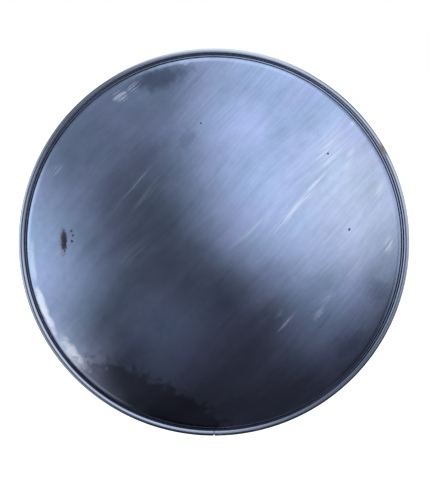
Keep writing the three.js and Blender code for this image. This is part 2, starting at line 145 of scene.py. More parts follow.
def length_property(name, description, default):
    return bpy.props.FloatProperty(name=name, description=description, default=default, unit="LENGTH")


def colour_property(name, description, default):
    return bpy.props.FloatVectorProperty(
        name=name, description=description, default=default, subtype="COLOR")


class MirrorSizes(bpy.types.PropertyGroup):
    """Sizes of the mirror's pieces."""

    hoop_radius: length_property("Hoop radius", "Outside radius of the rolled hoop", HOOP_RADIUS)
    bead_radius: length_property("Bead radius", "Outside radius of the hoop's C section", BEAD_RADIUS * MM)
    sheet: length_property("Sheet", "Thickness of the dish and the pan", SHEET * MM)
    dome_waviness: length_property("Dome waviness", "Height of the shallow dents in the dome", 0.12 * MM)
    pan_waviness: length_property("Pan waviness", "Height of the shallow dents in the pan", 0.3 * MM)
    round_facets: bpy.props.IntProperty(
        name="Round facets", description="Facets round the large rings", default=240, min=48)
    edge_round: length_property("Edge round", "Rounding of cut plate edges", 0.5 * MM)
    weld_radius: length_property("Weld radius", "Radius of the weld beads", 2.4 * MM)


class MirrorFinish(bpy.types.PropertyGroup):
    """Colours and surface of the finishes."""

    steel: colour_property("Mirror steel", "Tint of the polished face", (0.57, 0.62, 0.81))
    steel_cool: colour_property(
        "Mirror steel, cool", "Second tint of the polished face", (0.545, 0.64, 0.8))
    steel_roughness: bpy.props.FloatProperty(
        name="Mirror haze", description="Roughness of the polished face",
        default=0.20, min=0, max=1, subtype="FACTOR")
    hoop: colour_property("Hoop steel", "Tint of the rolled hoop", (0.62, 0.65, 0.72))
    galvanised: colour_property("Galvanised", "Tint of the galvanised sheet", (0.52, 0.55, 0.57))
    casting: colour_property("Casting", "Tint of the galvanised casting", (0.42, 0.44, 0.46))
    zinc: colour_property("Zinc", "Tint of the plated fasteners", (0.66, 0.67, 0.63))
    nylon: colour_property("Nylon", "Colour of the friction washers", (0.76, 0.73, 0.63))
    rubber: colour_property("Rubber", "Colour of the edging", (0.012, 0.012, 0.014))
    rust: colour_property("Rust", "Colour of rust and stains", (0.16, 0.075, 0.04))


class StudioSettings(bpy.types.PropertyGroup):
    """Camera and light."""

    lens: bpy.props.FloatProperty(
        name="Lens", description="Focal length of the camera in millimetres", default=100)
    distance: length_property("Distance", "From the rim to the camera", 2.094)
    elevation: bpy.props.FloatProperty(
        name="Elevation", description="Angle of the camera above the mirror's axis",
        default=math.radians(8), subtype="ANGLE")
    floor_drop: length_property("Floor drop", "Floor below the mirror's axis", 0.62)
    floor: colour_property("Floor", "Colour of the floor", (0.93, 0.93, 0.93))


def sizes():
    return bpy.context.scene.road_mirror_sizes


def finish():
    return bpy.context.scene.road_mirror_finish


def studio():
    return bpy.context.scene.road_mirror_studio


# ---- Node trees ----------------------------------------------------------------------------


class Value:
    """An output of a node; arithmetic with it adds math nodes."""

    def __init__(self, graph, socket):
        self.graph, self.socket = graph, socket

    def __add__(self, other):
        return self.graph.math("ADD", self, other)

    def __sub__(self, other):
        return self.graph.math("SUBTRACT", self, other)

    def __mul__(self, other):
        return self.graph.math("MULTIPLY", self, other)

    def __truediv__(self, other):
        return self.graph.math("DIVIDE", self, other)

    def __neg__(self):
        return self * -1.0


class Graph:
    """Builds a node tree; every call adds a node and most return one of its outputs."""

    def __init__(self, tree):
        self.tree = tree

    def node(self, kind, inputs=None, **settings):
        made = self.tree.nodes.new(kind)
        for key, value in settings.items():
            setattr(made, key, value)
        for key, value in (inputs or {}).items():
            self.feed(made.inputs[key], value)
        return made

    def out(self, kind, inputs=None, output=0, **settings):
        return Value(self, self.node(kind, inputs, **settings).outputs[output])

    def feed(self, socket, value):
        if isinstance(value, Value):
            self.tree.links.new(value.socket, socket)
        elif socket.type == "RGBA":
            socket.default_value = (*value[:3], 1.0)
        else:
            socket.default_value = value

    def math(self, operation, *values, clamp=False):
        inputs = dict(enumerate(values))
        return self.out("ShaderNodeMath", inputs, operation=operation, use_clamp=clamp)

    def most(self, a, b):
        return self.math("MAXIMUM", a, b)

    def least(self, a, b):
        return self.math("MINIMUM", a, b)

    def vectors(self, operation, *values):
        return self.out("ShaderNodeVectorMath", dict(enumerate(values)), operation=operation)

    def dot(self, a, b):
        return self.out("ShaderNodeVectorMath", {0: a, 1: b}, "Value", operation="DOT_PRODUCT")

    def stretched(self, vector, gain):
        return self.out("ShaderNodeVectorMath", {0: vector, 3: gain}, operation="SCALE")

    def reach(self, a, b):
        """The length of (a, b)."""
        return self.math("SQRT", a * a + b * b)

    def vector(self, x=0.0, y=0.0, z=0.0):
        return self.out("ShaderNodeCombineXYZ", {0: x, 1: y, 2: z})

    def parts(self, vector):
        return [Value(self, part) for part in self.node("ShaderNodeSeparateXYZ", {0: vector}).outputs]

    def ramp(self, value, low, high, to_low=0.0, to_high=1.0):
        """A smooth step from one value to another between low and high."""
        inputs = {"Value": value, "From Min": low, "From Max": high, "To Min": to_low, "To Max": to_high}
        return self.out("ShaderNodeMapRange", inputs, clamp=True, interpolation_type="SMOOTHSTEP")

    def blend(self, factor, a, b):
        return self.out("ShaderNodeMix", {0: factor, 6: a, 7: b}, 2, data_type="RGBA")

    def noise(self, vector, scale=5.0, detail=2.0, rough=0.5, distortion=0.0):
        inputs = {"Vector": vector, "Scale": scale, "Detail": detail, "Roughness": rough}
        return self.out("ShaderNodeTexNoise", {**inputs, "Distortion": distortion})

    def noises(self, vector, scale, detail=2.0):
        """Three noises as a vector."""
        return self.out("ShaderNodeTexNoise", {"Vector": vector, "Scale": scale, "Detail": detail}, "Color")

    def swirl(self, vector, scale, detail=2.0):
        """Three noises about zero, as a vector."""
        return self.vectors("SUBTRACT", self.noises(vector, scale, detail), (0.5, 0.5, 0.5))


def geometry_tree(name, inputs):
    """A geometry tree with one geometry output and the named inputs; returns its graph and inputs."""
    tree = bpy.data.node_groups.new(name, "GeometryNodeTree")
    tree.interface.new_socket("Geometry", in_out="INPUT", socket_type="NodeSocketGeometry")
    tree.interface.new_socket("Geometry", in_out="OUTPUT", socket_type="NodeSocketGeometry")
    for label, kind, default in inputs:
        socket = tree.interface.new_socket(label, in_out="INPUT", socket_type=f"NodeSocket{kind}")
        if default is not None:
            socket.default_value = default
    tree.interface.new_socket("Material", in_out="INPUT", socket_type="NodeSocketMaterial")
    graph = Graph(tree)
    given = graph.node("NodeGroupInput").outputs
    return graph, {socket.name: Value(graph, socket) for socket in given}


def close_tree(graph, geometry, given):
    """Ends a geometry tree: real copies and the material."""
    real = graph.out("GeometryNodeRealizeInstances", {"Geometry": geometry})
    painted = graph.out("GeometryNodeSetMaterial", {"Geometry": real, "Material": given["Material"]})
    graph.node("NodeGroupOutput", {"Geometry": painted})
    return graph.tree


def named_value(graph, name, kind="FLOAT"):
    return graph.out("GeometryNodeInputNamedAttribute", {"Name": name}, "Attribute", data_type=kind)


def random_value(graph, seed):
    return graph.out("FunctionNodeRandomValue", {"Seed": seed}, 1, data_type="FLOAT")


def turned_tree():
    """Turns a profile about the Y axis. Each profile point is (radius, station, thread depth).

    A point's "hex" makes its ring a hexagon of that inner radius, and "slope" then lowers the corners.
    """
    graph, given = geometry_tree("Turned part", [
        ("Facets", "Int", 48),
        ("Start", "Float", 0.0),
        ("Sweep", "Float", TAU),
        ("Thread Pitch", "Float", 1.5 * MM),
        ("Waviness", "Float", 0.0),
        ("Wave Scale", "Float", 9.0),
        ("Weld Distance", "Float", 0.004 * MM),
    ])
    profile = given["Geometry"]
    inputs = {"Geometry": profile}
    rows = graph.out("GeometryNodeAttributeDomainSize", inputs, "Point Count", component="MESH")
    columns = given["Facets"] + 1
    grid = graph.out("GeometryNodeMeshGrid", {"Vertices X": columns, "Vertices Y": rows}, "Mesh")
    index = graph.out("GeometryNodeInputIndex")
    row = graph.math("MODULO", index, rows)
    column = graph.math("FLOOR", (index + 0.25) / rows)
    turn = column / given["Facets"]

    def sampled(value, kind):
        inputs = {"Geometry": profile, "Value": value, "Index": row}
        return graph.out("GeometryNodeSampleIndex", inputs, data_type=kind, domain="POINT", clamp=True)

    spot = graph.parts(sampled(graph.out("GeometryNodeInputPosition"), "FLOAT_VECTOR"))
    hexagon = sampled(named_value(graph, "hex"), "FLOAT")
    slope = sampled(named_value(graph, "slope"), "FLOAT")

    angle = turn * given["Sweep"] + given["Start"]
    sixth = graph.math("FLOORED_MODULO", angle, TAU / 6) - TAU / 12
    stretch = graph.math("DIVIDE", 1.0, graph.math("COSINE", sixth)) - 1.0
    corner = spot[0] * stretch * hexagon
    phase = spot[1] / given["Thread Pitch"] + turn
    tooth = graph.math("ABSOLUTE", graph.math("FRACT", phase) - 0.5) * 2.0
    radius = spot[0] + corner - spot[2] * tooth
    station = spot[1] + corner * slope
    x = radius * graph.math("SINE", angle)
    z = radius * graph.math("COSINE", angle)
    wave = graph.noise(graph.vector(x, 0.0, z), given["Wave Scale"], 1.0, 0.4) * 2.0 - 1.0
    y = wave * given["Waviness"] + station
    placed = graph.out("GeometryNodeSetPosition", {"Geometry": grid, "Position": graph.vector(x, y, z)})
    inputs = {"Geometry": placed, "Distance": given["Weld Distance"]}
    return close_tree(graph, graph.out("GeometryNodeMergeByDistance", inputs), given)


def bent_bar_tree():
    """Bends a straight bar along +Y into a U about the Z axis, with both legs towards -Y."""
    graph, given = geometry_tree("Bent bar", [("Leg", "Float", 0.06), ("Bend Radius", "Float", 0.043)])
    x, y, z = graph.parts(graph.out("GeometryNodeInputPosition"))
    along = y - given["Leg"]
    angle = graph.least(along / given["Bend Radius"], math.pi)
    angle = graph.most(angle, 0.0)
    beyond = along - angle * given["Bend Radius"]
    reach = given["Bend Radius"] + x
    sine, cosine = graph.math("SINE", angle), graph.math("COSINE", angle)
    across = beyond * sine - reach * cosine
    out = reach * sine + beyond * cosine
    inputs = {"Geometry": given["Geometry"], "Position": graph.vector(across, out, z)}
    return close_tree(graph, graph.out("GeometryNodeSetPosition", inputs), given)


def copies_tree():
    """Sets out one copy of a piece on each point, turned by its "turn" and spun about its own axis."""
    graph, given = geometry_tree("Set out copies", [
        ("Piece", "Object", None),
        ("Spin", "Float", 0.0),
        ("Seed", "Int", 7),
    ])
    inputs = {"Object": given["Piece"], "As Instance": True}
    piece = graph.out("GeometryNodeObjectInfo", inputs, "Geometry")
    cloud = graph.out("GeometryNodeMeshToPoints", {"Mesh": given["Geometry"]})
    turn = named_value(graph, "turn", "FLOAT_VECTOR")
    inputs = {"Points": cloud, "Instance": piece, "Rotation": turn}
    set_out = graph.out("GeometryNodeInstanceOnPoints", inputs)
    random = random_value(graph, given["Seed"])
    spin = graph.vector(0.0, random * given["Spin"], 0.0)
    inputs = {"Instances": set_out, "Rotation": spin, "Local Space": True}
    return close_tree(graph, graph.out("GeometryNodeRotateInstances", inputs), given)


def punched_tree():
    """Punches a round hole along Y at each point of the cutter object."""
    graph, given = geometry_tree("Punched holes", [("Centres", "Object", None), ("Depth", "Float", 0.02)])
    centres = graph.out("GeometryNodeObjectInfo", {"Object": given["Centres"]}, "Geometry")
    inputs = {"Vertices": 32, "Radius": 1.0, "Depth": given["Depth"]}
    punch = graph.out("GeometryNodeMeshCylinder", inputs, "Mesh")
    radius = named_value(graph, "hole_radius")
    cutters = graph.out("GeometryNodeInstanceOnPoints", {
        "Points": graph.out("GeometryNodeMeshToPoints", {"Mesh": centres}),
        "Instance": graph.out("GeometryNodeTransform", {"Geometry": punch, "Rotation": TO_Z}),
        "Scale": graph.vector(radius, 1.0, radius),
    })
    cut = graph.out("GeometryNodeMeshBoolean", {
        "Mesh 1": given["Geometry"],
        "Mesh 2": graph.out("GeometryNodeRealizeInstances", {"Geometry": cutters}),
    }, operation="DIFFERENCE", solver="EXACT")
    return close_tree(graph, cut, given)


def weld_tree():
    """Lays a rippled weld bead along every edge line of a mesh."""
    graph, given = geometry_tree("Weld bead", [
        ("Bead Radius", "Float", 2.4 * MM),
        ("Ripple", "Float", 1.7 * MM),
        ("Seed", "Int", 3),
    ])
    line = graph.out("GeometryNodeMeshToCurve", {"Mesh": given["Geometry"]})
    length = given["Ripple"] * 0.25
    fine = graph.out("GeometryNodeResampleCurve", {"Curve": line, "Length": length}, mode="LENGTH")
    travelled = graph.out("GeometryNodeSplineParameter", output="Length")
    phase = travelled / given["Ripple"] * math.pi
    ripple = graph.math("ABSOLUTE", graph.math("SINE", phase))
    random = random_value(graph, given["Seed"])
    thick = ripple * 0.22 + 0.8 + random * 0.08
    circle_inputs = {"Resolution": 12, "Radius": 1.0}
    bead = graph.out("GeometryNodeCurveToMesh", {
        "Curve": fine,
        "Profile Curve": graph.out("GeometryNodeCurvePrimitiveCircle", circle_inputs, "Curve"),
        "Fill Caps": True,
        "Scale": thick * given["Bead Radius"],
    })
    return close_tree(graph, bead, given)


# ---- Making meshes -------------------------------------------------------------------------


def new_object(name, mesh):
    made = bpy.data.objects.new(name, mesh)
    bpy.context.scene.collection.objects.link(made)
    return made


def mesh_of(name, points, edges=(), faces=(), **attributes):
    """A mesh with optional float or vector point attributes."""
    mesh = bpy.data.meshes.new(name)
    mesh.from_pydata([tuple(p) for p in points], edges, faces)
    for key, values in attributes.items():
        flat = isinstance(values[0], (int, float))
        made = mesh.attributes.new(key, "FLOAT" if flat else "FLOAT_VECTOR", "POINT")
        if flat:
            made.data.foreach_set("value", values)
        else:
            made.data.foreach_set("vector", [part for value in values for part in value])
    return mesh


def through(made, tree, **values):
    """Adds a geometry modifier and sets its inputs by identifier before anything is evaluated."""
    modifier = made.modifiers.new(tree.name, "NODES")
    modifier.node_group = tree
    wanted = {key.replace("_", " ").title(): value for key, value in values.items()}
    for socket in tree.interface.items_tree:
        if socket.item_type == "SOCKET" and socket.in_out == "INPUT" and socket.name in wanted:
            modifier[socket.identifier] = wanted.pop(socket.name)
    if wanted:
        raise ValueError(f"{tree.name} has no input {sorted(wanted)}")
    return made


def plain(piece):
    """The piece with its modifiers applied: one plain mesh of one material, faces outwards."""
    bpy.context.view_layer.update()
    graph = bpy.context.evaluated_depsgraph_get()
    mesh = bpy.data.meshes.new_from_object(piece.evaluated_get(graph), depsgraph=graph)
    kept = [item for item in mesh.materials if item]
    mesh.materials.clear()
    for item in kept[:1]:
        mesh.materials.append(item)
    name = piece.name
    bpy.data.objects.remove(piece)
    return closed(new_object(name, mesh))


def closed(made):
    """Merges doubles, closes open ends, turns faces outwards and marks the real edges."""
    work = bmesh.new()
    work.from_mesh(made.data)
    bmesh.ops.remove_doubles(work, verts=work.verts, dist=0.002 * MM)
    loose = [v for v in work.verts if not v.link_faces]
    bmesh.ops.delete(work, geom=loose, context="VERTS")
    open_edges = [e for e in work.edges if e.is_boundary]
    if open_edges:
        bmesh.ops.holes_fill(work, edges=open_edges, sides=0)
    bmesh.ops.recalc_face_normals(work, faces=work.faces)
    work.to_mesh(made.data)
    work.free()
    made.data.shade_smooth()
    made.data.set_sharp_from_angle(angle=SHARP_EDGE)
    return made


def join(name, objects, material):
    """Several closed objects as one piece of one material."""
    work = bmesh.new()
    for item in objects:
        work.from_mesh(item.data)
    mesh = bpy.data.meshes.new(name)
    work.to_mesh(mesh)
    work.free()
    for item in objects:
        bpy.data.objects.remove(item)
    mesh.materials.clear()
    mesh.materials.append(material)
    for polygon in mesh.polygons:
        polygon.material_index = 0
    made = new_object(name, mesh)
    mesh.shade_smooth()
    mesh.set_sharp_from_angle(angle=SHARP_EDGE)
    return made


def shift(made, offset=(0, 0, 0), turn=(0, 0, 0)):
    """Moves the mesh itself, so that the object stays at the origin."""
    made.data.transform(Matrix.Translation(offset) @ Euler(turn).to_matrix().to_4x4())
    return made


def boolean(piece, cutter, operation="DIFFERENCE"):
    modifier = piece.modifiers.new("Cut", "BOOLEAN")
    modifier.operation = operation
    modifier.solver = "EXACT"
    modifier.object = cutter
    made = plain(piece)
    bpy.data.objects.remove(cutter)
    return made


class Profile:
    """Rows of a turned part: radius and station in millimetres, with thread and hexagon marks."""

    def __init__(self, rows=()):
        self.rows = []
        for row in rows:
            self.to(*row)

    def to(self, radius, station, hexagon=0.0, slope=0.0, thread=0.0):
        self.rows.append((radius, station, hexagon, slope, thread))
        return self

    def arc(self, centre, radius, start, end, steps):
        """Rows along an arc about (radius, station), angles in degrees from the outward direction."""
        for i in range(steps + 1):
            angle = math.radians(start + (end - start) * i / steps)
            self.to(centre[0] + radius * math.cos(angle), centre[1] + radius * math.sin(angle))
        return self

    def thread(self, radius, start, end, pitch, depth):
        """A thread, running out over its first and last turn."""
        steps = max(2, round(abs(end - start) / pitch * 6))
        for i in range(steps + 1):
            ease = min(1.0, i / 6, (steps - i) / 4 + 0.25)
            self.to(radius, start + (end - start) * i / steps, thread=depth * ease)
        return self

    def shank_end(self, s, threaded, length):
        """The thread on the last stretch of a shank, and its end."""
        self.thread(s["shank"], length - threaded, length - 1, s["pitch"], s["depth"])
        return self.to(s["shank"] - s["depth"] - 0.2, length).to(0, length)

    def turned(self, name, material, facets=48, closed=False, **values):
        rows = self.rows + (self.rows[:1] if closed else [])
        mesh = mesh_of(
            name,
            [(r * MM, y * MM, depth * MM) for r, y, _, _, depth in rows],
            edges=[(i, i + 1) for i in range(len(rows) - 1)],
            hex=[row[2] for row in rows],
            slope=[row[3] for row in rows],
        )
        return plain(through(
            new_object(name, mesh), trees()["turned"], facets=facets, material=material, **values))


def sheet_profile(line, thickness):
    """Closes an outward-running line into a sheet whose back lies on its +Y side."""
    far = []
    for i, (r, y) in enumerate(line):
        before, after = line[max(i - 1, 0)], line[min(i + 1, len(line) - 1)]
        along = Vector((after[0] - before[0], after[1] - before[1])).normalized()
        far.append((0.0 if r == 0 else r - along.y * thickness, y + along.x * thickness))
    return Profile(line + far[::-1])


def rounded_line(corners, steps=5):
    """A line through (radius, station, rounding) corners, each corner eased by its rounding."""
    line = []
    for i, (r, y, ease) in enumerate(corners):
        here = Vector((r, y))
        if ease == 0 or i in (0, len(corners) - 1):
            line.append((r, y))
            continue
        start = here + (Vector(corners[i - 1][:2]) - here).normalized() * ease
        end = here + (Vector(corners[i + 1][:2]) - here).normalized() * ease
        for k in range(steps + 1):
            t = k / steps
            point = start * (1 - t) ** 2 + here * 2 * t * (1 - t) + end * t ** 2
            line.append((point.x, point.y))
    return line


def divided(line, longest):
    """Splits the long spans of a line, so that its surface can carry gentle dents."""
    out = [line[0]]
    for (r0, y0), (r1, y1) in zip(line, line[1:]):
        parts = max(1, math.ceil(math.hypot(r1 - r0, y1 - y0) / longest))
        out += [(r0 + (r1 - r0) * k / parts, y0 + (y1 - y0) * k / parts) for k in range(1, parts + 1)]
    return out


def plate(name, outline, holes, thickness, material, edge):
    """A flat plate in the XY plane with eased edges; outline and holes are lists of (x, y) in metres."""
    curve = bpy.data.curves.new(name, "CURVE")
    curve.dimensions = "2D"
    curve.fill_mode = "BOTH"
    curve.extrude = thickness / 2 - edge
    curve.bevel_depth = edge
    curve.bevel_resolution = 2
    curve.offset = -edge
    for points in [outline, *holes]:
        spline = curve.splines.new("POLY")
        spline.points.add(len(points) - 1)
        for point, (x, y) in zip(spline.points, points):
            point.co = (x, y, 0, 1)
        spline.use_cyclic_u = True
    made = plain(new_object(name, curve))
    made.data.materials.clear()
    made.data.materials.append(material)
    return made


def circle(x, y, radius, steps=32):
    angles = [TAU * i / steps for i in range(steps)]
    return [(x + radius * math.cos(a), y + radius * math.sin(a)) for a in angles]


def rounded_rectangle(width, height, corner, steps=8):
    out = []
    for sx, sy, start in ((1, 1, 0), (-1, 1, 90), (-1, -1, 180), (1, -1, 270)):
        cx, cy = sx * (width / 2 - corner), sy * (height / 2 - corner)
        for i in range(steps + 1):
            angle = math.radians(start + 90 * i / steps)
            out.append((cx + corner * math.cos(angle), cy + corner * math.sin(angle)))
    return out


def ear_outline(reach, foot, radius, steps=24):
    """Round end about the origin, wider foot at x = -reach."""
    far = math.hypot(reach, foot)
    tangent = math.atan2(foot, -reach) - math.acos(radius / far)
    out = [(-reach, -foot)]
    for i in range(steps + 1):
        angle = -tangent + 2 * tangent * i / steps
        out.append((radius * math.cos(angle), radius * math.sin(angle)))
    return out + [(-reach, foot)]


_TREES = {}


def trees():
    """The geometry trees by name, built once."""
    if not _TREES:
        _TREES.update(
            turned=turned_tree(),
            bent=bent_bar_tree(),
            copies=copies_tree(),
            punched=punched_tree(),
            weld=weld_tree(),
        )
    return _TREES


def copies(name, template, places, material, spin=0.0, seed=7):
    """One plain piece that holds a copy of the template at each (position, turn)."""
    points = mesh_of(name, [place for place, _ in places], turn=[tuple(turn) for _, turn in places])
    made = through(
        new_object(name, points), trees()["copies"], piece=template, spin=spin, seed=seed, material=material)
    made = plain(made)
    bpy.data.objects.remove(template)
    return made


def weld_beads(name, lines, material, radius, seed=3):
    points, edges = [], []
    for start, end in lines:
        edges.append((len(points), len(points) + 1))
        points += [start, end]
    made = new_object(name, mesh_of(name, points, edges=edges))
    return plain(through(made, trees()["weld"], bead_radius=radius, seed=seed, material=material))


def declare(piece, body, slot, *nodes):
    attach(piece, body)
    if nodes:
        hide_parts(*nodes)


# ---- Finishes ------------------------------------------------------------------------------


def material(name):
    """A new material; returns it with its graph, its shader node and its object coordinates."""
    made = bpy.data.materials.new(name)
    made.use_nodes = True
    made.node_tree.nodes.clear()
    graph = Graph(made.node_tree)
    shader = graph.node("ShaderNodeBsdfPrincipled")
    graph.node("ShaderNodeOutputMaterial", {"Surface": Value(graph, shader.outputs[0])})
    return made, graph, shader, graph.out("ShaderNodeTexCoord", output="Object")


def relief(graph, shader, height, distance):
    bump = graph.out("ShaderNodeBump", {"Height": height, "Distance": distance})
    graph.feed(shader.inputs["Normal"], bump)


def surface(graph, shader, colour, roughness, metallic=0.0):
    graph.feed(shader.inputs["Base Color"], colour)
    graph.feed(shader.inputs["Roughness"], roughness)
    graph.feed(shader.inputs["Metallic"], metallic)


# The way the face was wiped, from lower left to upper right.
WIPE = math.radians(47)
ALONG = (math.cos(WIPE), 0.0, math.sin(WIPE))
ACROSS = (-math.sin(WIPE), 0.0, math.cos(WIPE))


def patch(graph, place, centre, size, lean, torn, ragged):
    """A soft oval mark with an edge torn by a noise: 1 at its middle, 0 outside."""
    x, z = place
    dx, dz = x - centre[0], z - centre[1]
    cosine, sine = math.cos(math.radians(lean)), math.sin(math.radians(lean))
    a = (dx * cosine + dz * sine) / size[0]
    b = (dz * cosine - dx * sine) / size[1]
    reach = graph.reach(a, b) + (torn - 0.5) * ragged
    return graph.ramp(reach, 0.25, 1.0, 1.0, 0.0)


def marks(graph, place, rows, torn, ragged):
    """The strongest of many patches."""
    total = 0.0
    for centre, size, lean, strength in rows:
        mark = patch(graph, place, centre, size, lean, torn, ragged)
        total = graph.most(total, mark * strength)
    return total


# Marks on the polished face, in metres: middle (right, up), half sizes, lean in degrees, strength.
# Hazy wipes.
WIPES = (
    ((0.118, 0.060), (0.074, 0.0085), 46, 0.60),
    ((0.150, 0.098), (0.042, 0.0060), 52, 0.55),
    ((0.175, 0.152), (0.040, 0.0230), 60, 0.55),
    ((0.204, 0.134), (0.030, 0.0080), 75, 0.50),
    ((0.060, 0.035), (0.060, 0.0060), 42, 0.35),
    ((0.166, -0.082), (0.040, 0.0060), 54, 0.55),
    ((0.158, -0.096), (0.020, 0.0090), 56, 0.50),
    ((0.112, -0.108), (0.034, 0.0044), 47, 0.38),
    ((0.099, -0.096), (0.014, 0.0050), 47, 0.28),
    ((0.212, -0.030), (0.036, 0.0048), 52, 0.42),
    ((0.212, 0.186), (0.013, 0.0045), -45, 0.70),
    ((0.266, 0.004), (0.020, 0.0100), 80, 0.60),
    ((0.252, 0.090), (0.018, 0.0070), 70, 0.45),
    ((-0.124, 0.090), (0.062, 0.0042), 50, 0.34),
    ((-0.100, 0.085), (0.050, 0.0100), 52, 0.24),
    ((-0.140, 0.229), (0.017, 0.0110), 25, 1.30),
    ((-0.120, 0.243), (0.015, 0.0095), 30, 1.20),
    ((-0.241, 0.117), (0.022, 0.0100), 30, 0.45),
    ((-0.043, 0.278), (0.010, 0.0050), 0, 0.65),
    ((-0.120, 0.000), (0.044, 0.0220), 48, 0.18),
)
# Painted highlights beside the rim: pale marks at lower left where bright light is reflected; the middle is
# the distance from the axis and the arc length from the left side, positive upwards.
RIM_HIGHLIGHTS = (
    ((0.2790, -0.100), (0.0080, 0.060), 0, 1.00),
    ((0.2740, -0.185), (0.0120, 0.050), 0, 0.85),
    ((0.2790, -0.030), (0.0060, 0.050), 0, 0.55),
)
# Painted dark reflections: navy patches on the face.
PAINTED_DARK_REFLECTIONS = (
    ((-0.080, 0.256), (0.060, 0.024), 17, 0.60),
    ((0.209, -0.150), (0.036, 0.024), 34, 0.32),
    ((0.250, -0.068), (0.026, 0.030), 10, 0.35),
    ((-0.040, 0.165), (0.030, 0.014), 52, 0.25),
)
# Spots of dirt.
SPOTS = (
    ((-0.2155, 0.0270), (0.0026, 0.0026), 0, 1.0),
    ((-0.2130, 0.0205), (0.0024, 0.0024), 0, 1.0),
    ((-0.2150, 0.0115), (0.0028, 0.0028), 0, 1.0),
    ((-0.0196, 0.1900), (0.0020, 0.0020), 0, 1.0),
    ((0.1710, 0.1440), (0.0022, 0.0022), 0, 1.0),
    ((0.2040, 0.0300), (0.0026, 0.0026), 0, 1.0),
)
# Single marks, without a strength: a painted dark reflection at the bottom of the face, the rust stain and
# its dark core, and rust on the hoop.
BOTTOM_DARK_REFLECTION = ((-0.110, -0.262), (0.175, 0.074), -26)
STAIN = ((-0.2284, 0.0105), (0.0056, 0.0215), 0)
STAIN_CORE = ((-0.2268, 0.0125), (0.0050, 0.0195), 0)
HOOP_RUST = ((0.258, 0.149), (0.016, 0.012), -45.84)


def polished_face():
    """Mirror steel hazed by wiping: streaks from lower left to upper right, smears, specks and rust, with
    painted highlights beside the rim at lower left and painted dark reflections, the largest at the bottom.
    """
    made, graph, shader, place = material("hazed_polished_steel")
    swept = graph.vectors("ADD", place, graph.stretched(graph.swirl(place, 4.0, 1.0), 0.06))
    along, across = graph.dot(swept, ALONG), graph.dot(swept, ACROSS)

    def streaks(length, width, detail=2.0, distortion=0.0):
        vector = graph.vector(along * length, across * width, 0.0)
        return graph.noise(vector, 1.0, detail, 0.55, distortion)

    fine = streaks(20.0, 420.0)
    medium = streaks(13.0, 160.0, 3.0, 0.1)
    broad = streaks(6.0, 32.0, 4.0, 0.3)
    cloud = graph.noise(place, 9.0, 5.0, 0.62)
    hue = graph.noise(place, 17.0, 3.0, 0.5)
    tear = graph.noise(place, 80.0, 3.0, 0.6)
    crumb = graph.noise(place, 480.0, 3.0, 0.65)

    x, _, z = graph.parts(place)
    flat = (x, z)
    sunny = graph.ramp(x * 0.8 + z * 0.6, -0.15, 0.15, 0.3, 1.0)
    gain = ((fine - 0.5) * 0.20 + (medium - 0.5) * 0.34) * sunny + (broad - 0.5) * 0.42
    gain = gain + (cloud - 0.5) * 0.70 + (tear - 0.5) * 0.16 + 1.0
    tint = graph.blend(graph.ramp(hue, 0.35, 0.65), finish().steel_cool, finish().steel)
    colour = graph.stretched(tint, gain)

    combed = graph.ramp(medium * 0.45 + fine * 0.55, 0.40, 0.60)
    smear = marks(graph, flat, WIPES, tear, 0.7) * combed
    smear = graph.math("MULTIPLY", smear, 1.5, clamp=True)
    colour = graph.blend(smear * 0.85, colour, (0.88, 0.92, 1.0))

    radius = graph.reach(x, z)
    colour = graph.stretched(colour, graph.ramp(radius, 0.210, 0.250, 1.0, 0.91))
    # Painted highlights: pale, partly diffuse marks beside the rim at lower left.
    around = graph.math("ARCTAN2", z, -x) * 0.28
    rim_highlight = marks(graph, (radius, around), RIM_HIGHLIGHTS, tear, 1.1)
    colour = graph.blend(rim_highlight, colour, (0.92, 0.94, 0.98))
    # Painted dark reflections: navy patches laid over the face.
    dark_reflection = marks(graph, flat, PAINTED_DARK_REFLECTIONS, tear, 1.0)
    colour = graph.blend(dark_reflection, colour, (0.10, 0.12, 0.19))
    # Painted dark reflection: a large navy patch darkens the bottom of the face.
    grime_and_dark_reflection = patch(graph, flat, *BOTTOM_DARK_REFLECTION, tear, 0.8)
    grime_and_dark_reflection = graph.least(grime_and_dark_reflection * 2.4, 0.6)
    colour = graph.blend(grime_and_dark_reflection, colour, (0.11, 0.11, 0.15))

    stain = patch(graph, flat, *STAIN, crumb, 2.8)
    core = patch(graph, flat, *STAIN_CORE, crumb, 2.4)
    specks = marks(graph, flat, SPOTS, crumb, 1.0)
    colour = graph.blend(graph.least(stain * 2.5, 0.9), colour, finish().rust)
    dirt = graph.least(graph.most(core, specks) * 1.6, 0.92)
    colour = graph.blend(dirt, colour, (0.02, 0.02, 0.045))

    rust = graph.most(stain, specks)
    # haze carries the painted rim highlights as well as the wiping film; both lower the metallic.
    haze = graph.most(rim_highlight, smear * smear * 0.6)
    dull = graph.most(rust, haze * 0.55)
    rough = broad * 0.12 + cloud * 0.14 + (finish().steel_roughness - 0.13)
    rough = rough + smear * 0.12 + rust * 0.3
    surface(graph, shader, colour, rough, dull * -0.8 + 1.0)

    height = fine * 0.4 + medium * 0.8
    relief(graph, shader, height * sunny, 0.00008)
    return made


def hoop_steel():
    """Satin stainless hoop with drawn lines along its length and a little rust."""
    made, graph, shader, place = material("satin_hoop_steel")
    x, y, z = graph.parts(place)
    radius = graph.reach(x, z)
    section = graph.vector(radius * 1800.0, y * 1800.0, 0.0)
    drawn = graph.noise(section, 1.0, 2.0)
    cloud = graph.noise(place, 24.0, 4.0, 0.6)
    gain = drawn * 0.12 + cloud * 0.16 + 0.86
    colour = graph.stretched(finish().hoop, gain)
    rust = patch(graph, (x, z), *HOOP_RUST, cloud, 0.9) * 0.7
    low = graph.ramp(z, -0.30, -0.26, 1.0, 0.0)
    rust = graph.most(rust, low * graph.ramp(cloud, 0.55, 0.75) * 0.35)
    colour = graph.blend(rust, colour, finish().rust)
    rough = cloud * 0.18 + rust * 0.3 + 0.16
    surface(graph, shader, colour, rough, rust * -0.7 + 1.0)
    relief(graph, shader, drawn * 0.3 + cloud, 0.00008)
    return made


